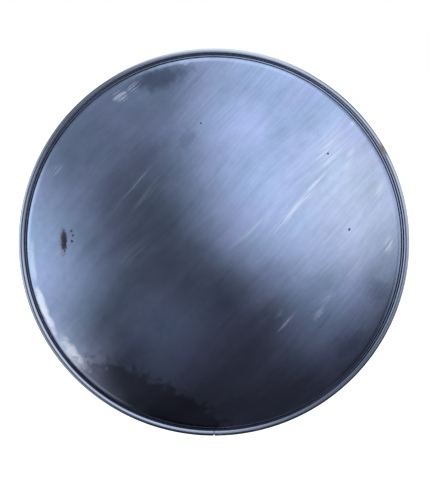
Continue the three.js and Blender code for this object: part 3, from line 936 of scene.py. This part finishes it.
def galvanised_sheet():
    """Zinc spangle in pale and dark grains, rain streaks and white bloom."""
    made, graph, shader, place = material("galvanised_sheet")
    warped = graph.vectors("ADD", place, graph.stretched(graph.noises(place, 60.0), 0.012))
    grains = graph.out("ShaderNodeTexVoronoi", {"Vector": warped, "Scale": 95.0}, "Color", feature="F1")
    grain = graph.parts(grains)[0]
    fine = graph.noise(place, 420.0, 3.0)
    cloud = graph.noise(place, 11.0, 5.0, 0.62)
    x, y, z = graph.parts(place)
    run = graph.vector(x * 70.0, y * 9.0, z * 5.0)
    rain = graph.noise(run, 1.0, 4.0, 0.6)
    gain = grain * 0.26 + cloud * 0.26 + fine * 0.10 + 0.67
    colour = graph.stretched(finish().galvanised, gain)
    bloom = graph.ramp(cloud * 0.6 + rain * 0.4, 0.50, 0.68) * 0.32
    colour = graph.blend(bloom, colour, (0.64, 0.66, 0.68))
    # Real grime from rain runs on the sheet.
    grime_and_dark_reflection = graph.ramp(rain, 0.54, 0.74) * 0.35
    colour = graph.blend(grime_and_dark_reflection, colour, (0.17, 0.165, 0.155))
    rough = grain * 0.16 + cloud * 0.1 + bloom * 0.3 + 0.34
    surface(graph, shader, colour, rough, (bloom + grime_and_dark_reflection) * -0.7 + 0.92)
    relief(graph, shader, fine + cloud * 1.2, 0.00005)
    return made


def galvanised_casting():
    """Cast knuckle under hot-dip zinc: pebbled skin, darker hollows."""
    made, graph, shader, place = material("galvanised_casting")
    pebble = graph.noise(place, 520.0, 4.0, 0.6)
    lumps = graph.noise(place, 90.0, 3.0, 0.5)
    gain = pebble * 0.4 + lumps * 0.5 + 0.55
    rough = pebble * 0.3 + lumps * 0.1 + 0.32
    surface(graph, shader, graph.stretched(finish().casting, gain), rough, 0.85)
    relief(graph, shader, pebble + lumps * 1.5, 0.00022)
    return made


def zinc_plating():
    """Bright plated fasteners, handled and slightly yellowed, dull towards grime."""
    made, graph, shader, place = material("zinc_plating")
    blotch = graph.noise(place, 130.0, 4.0, 0.6)
    fine = graph.noise(place, 900.0, 2.0)
    gain = blotch * 0.4 + fine * 0.14 + 0.74
    yellowed = graph.ramp(blotch, 0.52, 0.72) * 0.35
    colour = graph.blend(yellowed, graph.stretched(finish().zinc, gain), (0.56, 0.50, 0.36))
    dull = graph.ramp(graph.noise(place, 60.0, 5.0, 0.65), 0.56, 0.7) * 0.5
    colour = graph.blend(dull, colour, (0.22, 0.17, 0.13))
    rough = blotch * 0.25 + dull * 0.4 + 0.16
    surface(graph, shader, colour, rough, dull * -0.8 + 1.0)
    relief(graph, shader, blotch + fine * 0.4, 0.00006)
    return made


def nylon():
    """Natural nylon of the friction washers."""
    made, graph, shader, place = material("natural_nylon")
    cloud = graph.noise(place, 160.0, 3.0)
    colour = graph.stretched(finish().nylon, cloud * 0.3 + 0.82)
    surface(graph, shader, colour, cloud * 0.2 + 0.38)
    shader.inputs["Subsurface Weight"].default_value = 0.15
    shader.inputs["Subsurface Scale"].default_value = 0.002
    relief(graph, shader, graph.noise(place, 700.0, 2.0), 0.00004)
    return made


def rubber():
    """Dusty black edging."""
    made, graph, shader, place = material("weathered_rubber")
    cloud = graph.noise(place, 45.0, 4.0, 0.6)
    dust = graph.ramp(cloud, 0.5, 0.75) * 0.25
    colour = graph.stretched(finish().rubber, cloud * 0.8 + 0.6)
    colour = graph.blend(dust, colour, (0.16, 0.16, 0.17))
    surface(graph, shader, colour, cloud * 0.3 + 0.55)
    relief(graph, shader, graph.noise(place, 600.0, 3.0), 0.0001)
    return made


_FINISHES = {}


def finished(slot):
    """The material of a record slot, made once."""
    makers = {
        "polished_stainless": polished_face,
        "hoop_stainless": hoop_steel,
        "galvanised_steel": galvanised_sheet,
        "cast_galvanised": galvanised_casting,
        "zinc_plated": zinc_plating,
        "nylon": nylon,
        "rubber": rubber,
    }
    if slot not in _FINISHES:
        _FINISHES[slot] = makers[slot]()
    return _FINISHES[slot]


# ---- Fasteners, axis along +Y, bearing face at y = 0 (millimetres) -------------------------------

FASTENERS = {
    "M5": dict(shank=2.5, flats=8, head=3.5, nut=4, pitch=0.8, depth=0.42),
    "M8": dict(shank=4, flats=13, head=5.3, nut=6.5, pitch=1.25, depth=0.65),
    "M10": dict(shank=5, flats=16, head=6.4, nut=8.4, pitch=1.5, depth=0.8),
}
M8_WASHER = dict(inner=4.5, outer=8, thick=1.6)
M10_WASHER = dict(inner=5.5, outer=10, thick=2)
M8_HOLE = 4.5
M10_HOLE = 5.5
CHAMFER_SLOPE = math.tan(math.radians(28))


def hex_bolt(name, size, length, threaded):
    """Hexagon bolt with a chamfered head and a thread over its last stretch."""
    s = FASTENERS[size]
    inner = s["flats"] / 2
    profile = Profile([
        (0, -s["head"]),
        (inner * 0.90, -s["head"]),
        (inner * 0.97, -s["head"] + 0.15),
        (inner, -s["head"] + 0.35, 1, CHAMFER_SLOPE),
        (inner, -0.5, 1),
        (inner * 0.985, -0.25, 1),
        (inner * 0.96, -0.2),
        (inner * 0.94, 0),
        (s["shank"], 0),
    ])
    profile.shank_end(s, threaded, length)
    return profile.turned(name, finished("zinc_plated"), 36, thread_pitch=s["pitch"] * MM)


def hex_nut(name, size):
    """Hexagon nut chamfered on both faces, with a plain bore."""
    s = FASTENERS[size]
    inner, bore, high = s["flats"] / 2, s["shank"] + 0.12, s["nut"]
    profile = Profile([
        (bore, 0.7),
        (bore + 0.7, 0),
        (inner * 0.93, 0),
        (inner * 0.97, 0.12),
        (inner, 0.35, 1, CHAMFER_SLOPE),
        (inner, high - 0.35, 1, -CHAMFER_SLOPE),
        (inner * 0.97, high - 0.12),
        (inner * 0.93, high),
        (bore + 0.7, high),
        (bore, high - 0.7),
    ])
    return profile.turned(name, finished("zinc_plated"), 36, closed=True)


def washer(name, inner, outer, thick, slot="zinc_plated"):
    """Stamped washer: rolled upper edge, sharper lower one."""
    profile = Profile([
        (inner, 0.15), (inner + 0.15, 0), (outer - 0.15, 0), (outer, 0.15),
        (outer, thick - 0.45), (outer - 0.13, thick - 0.13), (outer - 0.45, thick),
        (inner + 0.25, thick), (inner, thick - 0.25),
    ])
    return profile.turned(name, finished(slot), 48, closed=True)


def spring_washer(name, inner, outer, thick):
    """Split lock washer, turned through less than a full circle."""
    ring = Profile([
        (inner, 0.2), (inner + 0.2, 0), (outer - 0.2, 0), (outer, 0.2),
        (outer, thick - 0.2), (outer - 0.2, thick), (inner + 0.2, thick), (inner, thick - 0.2),
    ])
    gap = math.radians(9)
    return ring.turned(name, finished("zinc_plated"), 48, closed=True, start=gap, sweep=TAU - 2 * gap)


def pivot_set(prefix, body, axis_point, turn, direction):
    """Bolt, washers, spring washer and nut of one pivot, on the places of their CAD nodes."""
    direction = Vector(direction)

    def ends(node):
        return sorted(corner.dot(direction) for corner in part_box(node))

    def seated(made, part, inset=0.0):
        node = f"{prefix}_{part}"
        near = ends(node)[0] + inset - axis_point.dot(direction)
        shift(made, axis_point + direction * near, turn)
        declare(made, body, "zinc_plated", node)

    head = FASTENERS["M10"]["head"]
    start, end = ends(f"{prefix}_bolt")
    bolt = hex_bolt(f"{prefix}_pivot_bolt", "M10", (end - start) / MM - head, PIVOT_THREAD)
    seated(bolt, "bolt", head * MM)
    for part in ("head_washer", "nut_washer"):
        seated(washer(f"{prefix}_{part}_steel", **M10_WASHER), part)
    seated(spring_washer(f"{prefix}_lock_washer", 5.4, 8.6, 2.2), "spring_washer")
    seated(hex_nut(f"{prefix}_lock_nut", "M10"), "nut")


def fastener_copies(name, template, nodes, body, turn=TO_Y, inset=0.0, **settings):
    """Zinc-plated copies on their CAD nodes, each seated on the end of its box that it turns from."""
    end = 1 if turn == TO_MINUS_Y else 0
    places = []
    for node in nodes:
        at = middle(node)
        at.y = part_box(node)[end].y + inset
        places.append((at, turn))
    made = copies(name, template, places, finished("zinc_plated"), **settings)
    declare(made, body, "zinc_plated", *nodes)


def drill(radius, half, material, sides):
    """A cylinder about Y that cuts a bore."""
    profile = Profile([(0, -half), (radius, -half), (radius, half), (0, half)])
    return profile.turned("drill", material, sides)


def base_plate(node, back_y, thick, corner, bolts, hole):
    """Rounded plate that faces along Y, with a hole for each bolt."""
    low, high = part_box(node)
    outline = rounded_rectangle(high.x - low.x, high.z - low.z, corner * MM)
    holes = [circle(middle(n).x, middle(n).z, hole * MM) for n in numbered(bolts)]
    base = plate("base", outline, holes, thick, finished("galvanised_steel"), sizes().edge_round)
    return shift(base, (0, back_y - thick / 2, 0), UPRIGHT)


def pivot_ear(reach, foot, radius, thick, place):
    """Ear with the pivot's hole, brought to its place by a matrix."""
    outline = ear_outline(reach, foot * MM, radius * MM)
    hole = circle(0, 0, M10_HOLE * MM)
    ear = plate("ear", outline, [hole], thick, finished("galvanised_steel"), sizes().edge_round)
    ear.data.transform(place)
    return ear


# ---- Operators -----------------------------------------------------------------------------


class ROADMIRROR_OT_dish(bpy.types.Operator):
    """Polished dome with its rolled shoulder, fillet and flange"""

    bl_idname = "road_mirror.dish"
    bl_label = "Mirror dish"

    def execute(self, context):
        dome = DOME_EDGE_RADIUS / math.sin(math.radians(DOME_EDGE_SLOPE))
        line = [(0.0, 0.0)]
        spans = (
            (dome, 0.0, DOME_EDGE_SLOPE, 44),
            (SHOULDER_RADIUS, DOME_EDGE_SLOPE, SHOULDER_SLOPE, 12),
            (-FILLET_RADIUS, SHOULDER_SLOPE, 0.0, 6),
        )
        for radius, start, end, steps in spans:
            r, y = line[-1]
            for i in range(1, steps + 1):
                slope = math.radians(start + (end - start) * i / steps)
                across = math.sin(slope) - math.sin(math.radians(start))
                back = math.cos(math.radians(start)) - math.cos(slope)
                line.append((r + radius * across, y + radius * back))
        line.append((FLANGE_TIP, line[-1][1]))
        drop = RIM_Y / MM - SHEET - FLANGE_GAP - line[-1][1]
        profile = sheet_profile([(r, y + drop) for r, y in line], sizes().sheet / MM)
        dish = profile.turned(
            "polished_dish", finished("polished_stainless"), sizes().round_facets,
            waviness=sizes().dome_waviness, wave_scale=14.0)
        declare(dish, "mirror_head", "polished_stainless", "mirror_dish")
        return {"FINISHED"}


class ROADMIRROR_OT_seal(bpy.types.Operator):
    """Rubber edging over the two flanges"""

    bl_idname = "road_mirror.seal"
    bl_label = "Rim seal"

    def execute(self, context):
        rim = RIM_Y / MM
        rows = [
            (290.4, -2.15), (297.1, -2.15), (297.8, -1.5), (297.8, 1.5), (297.1, 2.15), (290.4, 2.15),
            (290.1, 1.9), (290.1, 1.45), (290.4, 1.25), (296.8, 1.25), (296.8, -1.25), (290.4, -1.25),
            (290.1, -1.45), (290.1, -1.9),
        ]
        profile = Profile([(r, y + rim) for r, y in rows])
        seal = profile.turned("rubber_edging", finished("rubber"), sizes().round_facets, closed=True)
        declare(seal, "mirror_head", "rubber", "rim_seal")
        return {"FINISHED"}


class ROADMIRROR_OT_hoop(bpy.types.Operator):
    """Rolled C-section hoop, split at its lowest point"""

    bl_idname = "road_mirror.hoop"
    bl_label = "Rim hoop"

    def execute(self, context):
        bead = sizes().bead_radius / MM
        centre = (sizes().hoop_radius / MM - bead, RIM_Y / MM)
        mouth = 180 - math.degrees(math.asin(HOOP_MOUTH / (bead - HOOP_WALL)))
        lip = math.radians(mouth + 3)
        across = (bead - HOOP_WALL / 2) * math.cos(lip)
        along = (bead - HOOP_WALL / 2) * math.sin(lip)
        profile = Profile().arc(centre, bead, -mouth, mouth, 36)
        profile.to(centre[0] + across, centre[1] + along)
        profile.arc(centre, bead - HOOP_WALL, mouth, -mouth, 22)
        profile.to(centre[0] + across, centre[1] - along)
        gap = HOOP_SPLIT / 2 * MM / HOOP_RADIUS
        hoop = profile.turned(
            "rolled_hoop", finished("hoop_stainless"), sizes().round_facets,
            closed=True, start=math.pi + gap, sweep=TAU - 2 * gap)
        declare(hoop, "mirror_head", "hoop_stainless", "rim_hoop")
        return {"FINISHED"}


class ROADMIRROR_OT_hoop_closure(bpy.types.Operator):
    """Two bent tabs behind the split and the bolt that draws them together"""

    bl_idname = "road_mirror.hoop_closure"
    bl_label = "Hoop closure"

    def execute(self, context):
        steel = finished("hoop_stainless")
        at = middle("hoop_bolt")
        thick, bend = LUG_SHEET * MM, LUG_BEND * MM
        tabs, welds = [], []
        for side, node in ((-1, "hoop_lug_left"), (1, "hoop_lug_right")):
            low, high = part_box(node)
            width, height = high.x - low.x, high.y - low.y
            outline = [(0, 0), (width, 0), (width, thick), (thick + bend, thick)]
            for i in range(1, 6):
                angle = math.radians(90 * i / 6)
                outline.append((thick + bend * (1 - math.sin(angle)), thick + bend * (1 - math.cos(angle))))
            outline += [(thick, thick + bend), (thick, height), (0, height)]
            tab = plate(node + "_tab", outline, [], high.z - low.z, steel, LUG_EDGE * MM)
            if side < 0:
                shift(tab, turn=(0, math.pi, 0))
            inner, outer = (low.x, high.x) if side > 0 else (high.x, low.x)
            shift(tab, (inner, low.y, middle(node).z))
            hole = shift(drill(LUG_HOLE, 15, steel, 32), (inner, at.y, at.z), TO_X)
            tabs.append(boolean(tab, hole))
            y, end = low.y + LUG_WELD_Y * MM, LUG_WELD_END * MM
            welds += [
                ((outer, y, low.z + end), (outer, y, high.z - end)),
                ((outer - side * end, y, high.z), (outer - side * LUG_WELD * MM, y, high.z)),
            ]
        beads = weld_beads("closure_welds", welds, steel, LUG_WELD_RADIUS * MM, seed=11)
        closure = join("hoop_closure_tabs", [*tabs, beads], steel)
        declare(closure, "mirror_head", "hoop_stainless", "hoop_lug_left", "hoop_lug_right")

        head = FASTENERS["M5"]["head"]
        low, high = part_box("hoop_bolt")
        bolt = hex_bolt("closure_bolt", "M5", (high.x - low.x) / MM - head, CLOSURE_THREAD)
        shift(bolt, (low.x + head * MM, at.y, at.z), TO_X)
        declare(bolt, "mirror_head", "zinc_plated", "hoop_bolt")
        nut = hex_nut("closure_nut", "M5")
        shift(nut, (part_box("hoop_nut")[0].x, at.y, at.z), TO_X)
        declare(nut, "mirror_head", "zinc_plated", "hoop_nut")
        return {"FINISHED"}


class ROADMIRROR_OT_pan(bpy.types.Operator):
    """Pressed galvanised pan: flange, wall, raised ring, bolt holes and drains"""

    bl_idname = "road_mirror.pan"
    bl_label = "Back pan"

    def execute(self, context):
        back = PAN_BACK_Y / MM - sizes().sheet / MM
        foot = RIM_Y / MM + FLANGE_GAP
        # Each corner: distance from the axis, place along Y, bend radius.
        corners = [
            (0, back, 0), (191, back, 3), (196, back + 3, 3), (211, back + 3, 3), (216, back, 3),
            (268, back, 5), (276, back - 5, 5), (287.1, foot + 2.5, 2), (288.6, foot, 1.2),
            (FLANGE_TIP, foot, 0),
        ]
        line = divided(rounded_line(corners), 12)
        profile = sheet_profile(line, sizes().sheet / MM)
        steel = finished("galvanised_steel")
        shell = profile.turned(
            "pressed_pan", steel, 192, waviness=sizes().pan_waviness, wave_scale=7.0)
        centres = [(middle(n).x, PAN_BACK_Y, middle(n).z) for n in numbered("carriage_bolt")]
        radii = [M8_HOLE * MM] * len(centres)
        for degrees in DRAIN_ANGLES:
            angle, away = math.radians(degrees), DRAIN_CIRCLE * MM
            centres.append((away * math.sin(angle), PAN_BACK_Y, -away * math.cos(angle)))
            radii.append(DRAIN_RADIUS * MM)
        punches = new_object("punches", mesh_of("punches", centres, hole_radius=radii))
        through(shell, trees()["punched"], centres=punches, material=steel)
        pan = plain(shell)
        bpy.data.objects.remove(punches)
        declare(pan, "mirror_head", "galvanised_steel", "back_pan")
        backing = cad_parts["backing_plate"]
        backing.data.materials.clear()
        backing.data.materials.append(steel)
        return {"FINISHED"}


class ROADMIRROR_OT_yoke(bpy.types.Operator):
    """Base plate on the pan with two welded ears"""

    bl_idname = "road_mirror.yoke"
    bl_label = "Tilt yoke"

    def execute(self, context):
        steel, thick = finished("galvanised_steel"), YOKE_SHEET * MM
        pieces = [base_plate("tilt_yoke", YOKE_BACK_Y, thick, YOKE_CORNER, "carriage_bolt", M8_HOLE)]
        welds = []
        reach = TILT_AXIS.y - YOKE_BACK_Y + EAR_BITE * MM
        run = (YOKE_EAR["foot"] - WELD_END) * MM
        for side in (-1, 1):
            x = side * YOKE_EAR_X * MM
            place = Matrix(((0, 0, 1, x), (1, 0, 0, TILT_AXIS.y), (0, 1, 0, 0), (0, 0, 0, 1)))
            pieces.append(pivot_ear(reach, **YOKE_EAR, thick=thick, place=place))
            for wx in (x - thick / 2, x + thick / 2):
                welds.append(((wx, YOKE_BACK_Y, -run), (wx, YOKE_BACK_Y, run)))
        pieces.append(weld_beads("yoke_welds", welds, steel, sizes().weld_radius * 0.8, seed=5))
        yoke = join("welded_yoke", pieces, steel)
        declare(yoke, "mirror_head", "galvanised_steel", "tilt_yoke")
        return {"FINISHED"}


class ROADMIRROR_OT_yoke_fasteners(bpy.types.Operator):
    """Four carriage bolts with washers and nuts"""

    bl_idname = "road_mirror.yoke_fasteners"
    bl_label = "Yoke fasteners"

    def execute(self, context):
        bolts = numbered("carriage_bolt")
        low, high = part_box(bolts[0])
        s = FASTENERS["M8"]
        length = (high.y - low.y) / MM - CARRIAGE_HEAD
        profile = Profile([
            (0, -CARRIAGE_HEAD), (2.4, -4.2), (4.6, -3.6), (6.4, -2.75), (7.8, -1.7), (8.7, -0.7),
            (9, -0.2), (8.8, 0),
        ])
        profile.to(s["shank"], 0).shank_end(s, CARRIAGE_THREAD, length)
        zinc, pitch = finished("zinc_plated"), s["pitch"] * MM
        bolt = profile.turned("carriage_bolt_form", zinc, 36, thread_pitch=pitch)
        head = CARRIAGE_HEAD * MM
        fastener_copies("yoke_carriage_bolts", bolt, bolts, "mirror_head", inset=head, spin=TAU, seed=2)
        ring = washer("washer_form", **M8_WASHER)
        fastener_copies("yoke_flat_washers", ring, numbered("yoke_washer"), "mirror_head")
        nut = hex_nut("nut_form", "M8")
        fastener_copies(
            "yoke_hex_nuts", nut, numbered("yoke_nut"), "mirror_head", spin=TAU / 6, seed=4)
        return {"FINISHED"}


class ROADMIRROR_OT_pivots(bpy.types.Operator):
    """Bolt, washers, spring washer and nut of the tilt and of the swivel pivot"""

    bl_idname = "road_mirror.pivots"
    bl_label = "Pivot fasteners"

    def execute(self, context):
        pivot_set("tilt", "mirror_head", TILT_AXIS, TO_X, (1, 0, 0))
        pivot_set("swivel", "post_mount", SWIVEL_AXIS, TO_MINUS_Z, (0, 0, -1))
        return {"FINISHED"}


class ROADMIRROR_OT_knuckle(bpy.types.Operator):
    """Cast swivel knuckle with an upright and a cross eye, and its nylon washers"""

    bl_idname = "road_mirror.knuckle"
    bl_label = "Swivel knuckle"

    def execute(self, context):
        zinc = finished("cast_galvanised")
        span = (TILT_AXIS.y - SWIVEL_AXIS.y) / MM

        def eye(name, radius, turn, at):
            flat, side = radius - EYE_CHAMFER, EYE_HALF - EYE_CHAMFER
            ring = Profile([
                (0, -EYE_HALF), (flat, -EYE_HALF), (radius, -side),
                (radius, side), (flat, EYE_HALF), (0, EYE_HALF),
            ])
            return shift(ring.turned(name, zinc, 64), at, turn)

        rear = eye("swivel_knuckle", REAR_EYE_RADIUS, TO_Z, SWIVEL_AXIS)
        front = eye("front_eye", FRONT_EYE_RADIUS, TO_X, TILT_AXIS)
        neck = Profile([(0, span - 2), (13.5, span - 2), (13.2, span / 2), (14.2, 6), (0, 6)])
        stem = shift(neck.turned("neck", zinc, 48), (0, SWIVEL_AXIS.y, 0))
        body = boolean(boolean(rear, front, "UNION"), stem, "UNION")
        remesh = body.modifiers.new("Cast skin", "REMESH")
        remesh.mode = "VOXEL"
        remesh.voxel_size = 0.7 * MM
        soften = body.modifiers.new("Soften", "SMOOTH")
        soften.factor = 0.5
        soften.iterations = 9
        body = plain(body)
        for at, turn in ((SWIVEL_AXIS, TO_Z), (TILT_AXIS, TO_X)):
            body = boolean(body, shift(drill(PIVOT_BORE, 30, zinc, 48), at, turn))
        body.name = "cast_knuckle"
        body.data.materials.clear()
        body.data.materials.append(zinc)
        declare(body, "swivel_arm", "cast_galvanised", "swivel_block")

        half = FRICTION_WASHER["thick"] / 2 * MM
        nodes, places = [], []
        for stem, ends, turn, back in (
                ("swivel", ("upper", "lower"), TO_Z, (0, 0, half)),
                ("tilt", ("left", "right"), TO_X, (half, 0, 0))):
            for end in ends:
                nodes.append(f"{stem}_friction_washer_{end}")
                places.append((middle(nodes[-1]) - Vector(back), turn))
        template = washer("friction_form", **FRICTION_WASHER, slot="nylon")
        made = copies("nylon_friction_washers", template, places, finished("nylon"))
        declare(made, "swivel_arm", "nylon", *nodes)
        return {"FINISHED"}


class ROADMIRROR_OT_post_bracket(bpy.types.Operator):
    """Back plate with two welded ears"""

    bl_idname = "road_mirror.post_bracket"
    bl_label = "Post bracket"

    def execute(self, context):
        steel, thick = finished("galvanised_steel"), BRACKET_SHEET * MM
        pieces = [base_plate("post_bracket", 0, thick, BRACKET_CORNER, "u_bolt_washer", M10_HOLE)]
        welds = []
        reach = -SWIVEL_AXIS.y - thick + EAR_BITE * MM
        run = (BRACKET_EAR["foot"] - WELD_END) * MM
        for side in (-1, 1):
            z = side * BRACKET_EAR_Z * MM
            place = Matrix(((0, 1, 0, 0), (-1, 0, 0, SWIVEL_AXIS.y), (0, 0, 1, z), (0, 0, 0, 1)))
            pieces.append(pivot_ear(reach, **BRACKET_EAR, thick=thick, place=place))
            for wz in (z - thick / 2, z + thick / 2):
                welds.append(((-run, -thick, wz), (run, -thick, wz)))
        pieces.append(weld_beads("bracket_welds", welds, steel, sizes().weld_radius, seed=9))
        bracket = join("welded_post_bracket", pieces, steel)
        declare(bracket, "post_mount", "galvanised_steel", "post_bracket")
        return {"FINISHED"}


class ROADMIRROR_OT_u_bolts(bpy.types.Operator):
    """Two U-bolts with threaded legs, washers and nuts"""

    bl_idname = "road_mirror.u_bolts"
    bl_label = "U-bolts"

    def execute(self, context):
        zinc = finished("zinc_plated")
        s = FASTENERS["M10"]
        bend = abs(middle("u_bolt_nut_1").x) / MM
        low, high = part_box("u_bolt_upper")
        centre_y = high.y / MM - bend - s["shank"]
        leg = centre_y - low.y / MM
        total = 2 * leg + math.pi * bend
        profile = Profile([(0, 0), (s["shank"] - s["depth"] - 0.2, 0)])
        profile.thread(s["shank"], 1, U_BOLT_THREAD, s["pitch"], s["depth"])
        for i in range(BEND_STEPS + 1):
            profile.to(s["shank"], leg + math.pi * bend * i / BEND_STEPS)
        profile.shank_end(s, U_BOLT_THREAD, total)
        template = profile.turned("u_bolt_form", zinc, 28, thread_pitch=s["pitch"] * MM)
        through(template, trees()["bent"], leg=leg * MM, bend_radius=bend * MM, material=zinc)
        nodes = ("u_bolt_upper", "u_bolt_lower")
        fastener_copies("bent_u_bolts", plain(template), nodes, "post_mount", inset=leg * MM)
        ring = washer("washer_form", **M10_WASHER)
        nodes = numbered("u_bolt_washer")
        fastener_copies("u_bolt_flat_washers", ring, nodes, "post_mount", TO_MINUS_Y)
        nut = hex_nut("nut_form", "M10")
        nodes = numbered("u_bolt_nut")
        fastener_copies("u_bolt_hex_nuts", nut, nodes, "post_mount", TO_MINUS_Y, spin=TAU / 6, seed=6)
        return {"FINISHED"}


# Soft lights painted on the studio's walls: bearing to the right of the mirror's axis and height,
# the angle within which each is full and the angle where it ends, all in degrees, and its colour.
FRONT_LIGHTS = {
    "large window, right": (34, 20, 21, 51, (0.60, 0.70, 0.89)),
    "warm wall, right": (42, 6, 0, 30, (0.26, 0.19, 0.04)),
    "low wall, right": (33, -26, 3, 18, (0.09, 0.11, 0.15)),
    "low wall, left": (-15, -31, 5, 17, (0.06, 0.075, 0.105)),
    "left wall": (-65, -10, 6, 42, (0.62, 0.74, 0.92)),
    "upper left": (-40, 42, 0, 44, (0.17, 0.20, 0.26)),
}
SIDE_LIGHTS = {
    "side window, right": (98, 0, 12, 42, (0.66, 0.70, 0.80)),
    "side window, left": (-98, 0, 10, 44, (0.60, 0.66, 0.74)),
    "low reflector, left": (-62, -42, 6, 22, (0.74, 0.77, 0.84)),
    "skylight": (28, 78, 12, 42, (0.75, 0.86, 1.0)),
    "skylight behind": (180, 60, 10, 45, (0.70, 0.74, 0.80)),
    "wall behind": (180, 0, 40, 80, (0.28, 0.29, 0.31)),
}
WALL_LOW = (0.034, 0.033, 0.045)
WALL_HIGH = (0.084, 0.094, 0.122)


class ROADMIRROR_OT_studio(bpy.types.Operator):
    """Pale floor, soft light and the camera"""

    bl_idname = "road_mirror.studio"
    bl_label = "Studio"

    def execute(self, context):
        self.floor()
        self.light()
        self.camera()
        return {"FINISHED"}

    def floor(self):
        made, graph, shader, place = material("pale_floor")
        cloud = graph.noise(place, 1.5, 2.0)
        surface(graph, shader, graph.stretched(studio().floor, cloud * 0.01 + 0.995), 0.9)
        shader.inputs["Emission Color"].default_value = (1, 1, 1, 1)
        shader.inputs["Emission Strength"].default_value = 0.75
        half, z = 60.0, -studio().floor_drop
        corners = [(-half, -half, z), (half, -half, z), (half, half, z), (-half, half, z)]
        mesh = mesh_of("floor", corners, faces=[(0, 1, 2, 3)])
        floor = new_object("floor", mesh)
        mesh.materials.append(made)
        floor.visible_glossy = False

    def light(self):
        world = bpy.data.worlds.new("studio_walls")
        bpy.context.scene.world = world
        world.use_nodes = True
        world.node_tree.nodes.clear()
        graph = Graph(world.node_tree)
        way = graph.out("ShaderNodeTexCoord", output="Generated")
        ragged = self.ragged(graph, way)
        total = graph.blend(graph.ramp(graph.parts(way)[2], -0.62, -0.07), WALL_LOW, WALL_HIGH)
        total = self.with_lights(graph, ragged, total, FRONT_LIGHTS)
        planting = graph.parts(ragged)[2] + graph.parts(ragged)[0] * 0.6
        planting = graph.ramp(planting, -0.97, -0.93, 0.35, 1.0)
        total = self.with_lights(graph, ragged, graph.stretched(total, planting), SIDE_LIGHTS)
        walls = graph.out("ShaderNodeBackground", {"Color": total, "Strength": 1.0})
        white = graph.out("ShaderNodeBackground", {"Color": (1, 1, 1), "Strength": 1.0})
        seen = graph.out("ShaderNodeLightPath", output="Is Camera Ray")
        mixed = graph.out("ShaderNodeMixShader", {0: seen, 1: walls, 2: white})
        graph.node("ShaderNodeOutputWorld", {"Surface": mixed})

    def ragged(self, graph, way):
        """Directions with a little disorder, so that the lights have cloudy edges."""
        for scale, reach in ((2.2, 0.10), (9.0, 0.07)):
            push = graph.stretched(graph.swirl(way, scale, 3.0), reach * 2)
            way = graph.vectors("ADD", way, push)
        return graph.vectors("NORMALIZE", way)

    def with_lights(self, graph, way, total, lights):
        for bearing, height, full, end, colour in lights.values():
            a, e = math.radians(bearing), math.radians(height)
            aim = (math.sin(a) * math.cos(e), -math.cos(a) * math.cos(e), math.sin(e))
            away = graph.math("ARCCOSINE", graph.dot(way, aim))
            lit = graph.stretched(colour, graph.ramp(away, math.radians(full), math.radians(end), 1.0, 0.0))
            total = graph.vectors("ADD", total, lit)
        return total

    def camera(self):
        scene = bpy.context.scene
        data = bpy.data.cameras.new("studio_camera")
        data.lens = studio().lens
        data.clip_end = 200
        camera = bpy.data.objects.new("studio_camera", data)
        scene.collection.objects.link(camera)
        target = Vector((0.0015, RIM_Y, 0.0008))
        back = Vector((0, -math.cos(studio().elevation), math.sin(studio().elevation)))
        camera.location = target + back * studio().distance
        camera.rotation_mode = "QUATERNION"
        camera.rotation_quaternion = (-back).to_track_quat("-Z", "Y")
        scene.camera = camera
        scene.view_settings.view_transform = "Standard"


# ---- Panel and registration ------------------------------------------------------------------


PIECES = (
    ROADMIRROR_OT_dish,
    ROADMIRROR_OT_seal,
    ROADMIRROR_OT_hoop,
    ROADMIRROR_OT_hoop_closure,
    ROADMIRROR_OT_pan,
    ROADMIRROR_OT_yoke,
    ROADMIRROR_OT_yoke_fasteners,
    ROADMIRROR_OT_pivots,
    ROADMIRROR_OT_knuckle,
    ROADMIRROR_OT_post_bracket,
    ROADMIRROR_OT_u_bolts,
    ROADMIRROR_OT_studio,
)


class ROADMIRROR_PT_panel(bpy.types.Panel):
    """Lists the pieces and their settings"""

    bl_label = "Road mirror"
    bl_idname = "ROADMIRROR_PT_panel"
    bl_space_type = "VIEW_3D"
    bl_region_type = "UI"
    bl_category = "Road mirror"

    def draw(self, context):
        for piece in PIECES:
            self.layout.operator(piece.bl_idname)
        for group in (sizes(), finish(), studio()):
            box = self.layout.box()
            for key in type(group).__annotations__:
                box.prop(group, key)


CLASSES = (MirrorSizes, MirrorFinish, StudioSettings, *PIECES, ROADMIRROR_PT_panel)


def register():
    for item in CLASSES:
        bpy.utils.register_class(item)
    bpy.types.Scene.road_mirror_sizes = bpy.props.PointerProperty(type=MirrorSizes)
    bpy.types.Scene.road_mirror_finish = bpy.props.PointerProperty(type=MirrorFinish)
    bpy.types.Scene.road_mirror_studio = bpy.props.PointerProperty(type=StudioSettings)


def unregister():
    del bpy.types.Scene.road_mirror_studio
    del bpy.types.Scene.road_mirror_finish
    del bpy.types.Scene.road_mirror_sizes
    for item in reversed(CLASSES):
        bpy.utils.unregister_class(item)


def main():
    register()
    for piece in PIECES:
        group, name = piece.bl_idname.split(".")
        getattr(getattr(bpy.ops, group), name)()


if __name__ == "__main__":
    main()
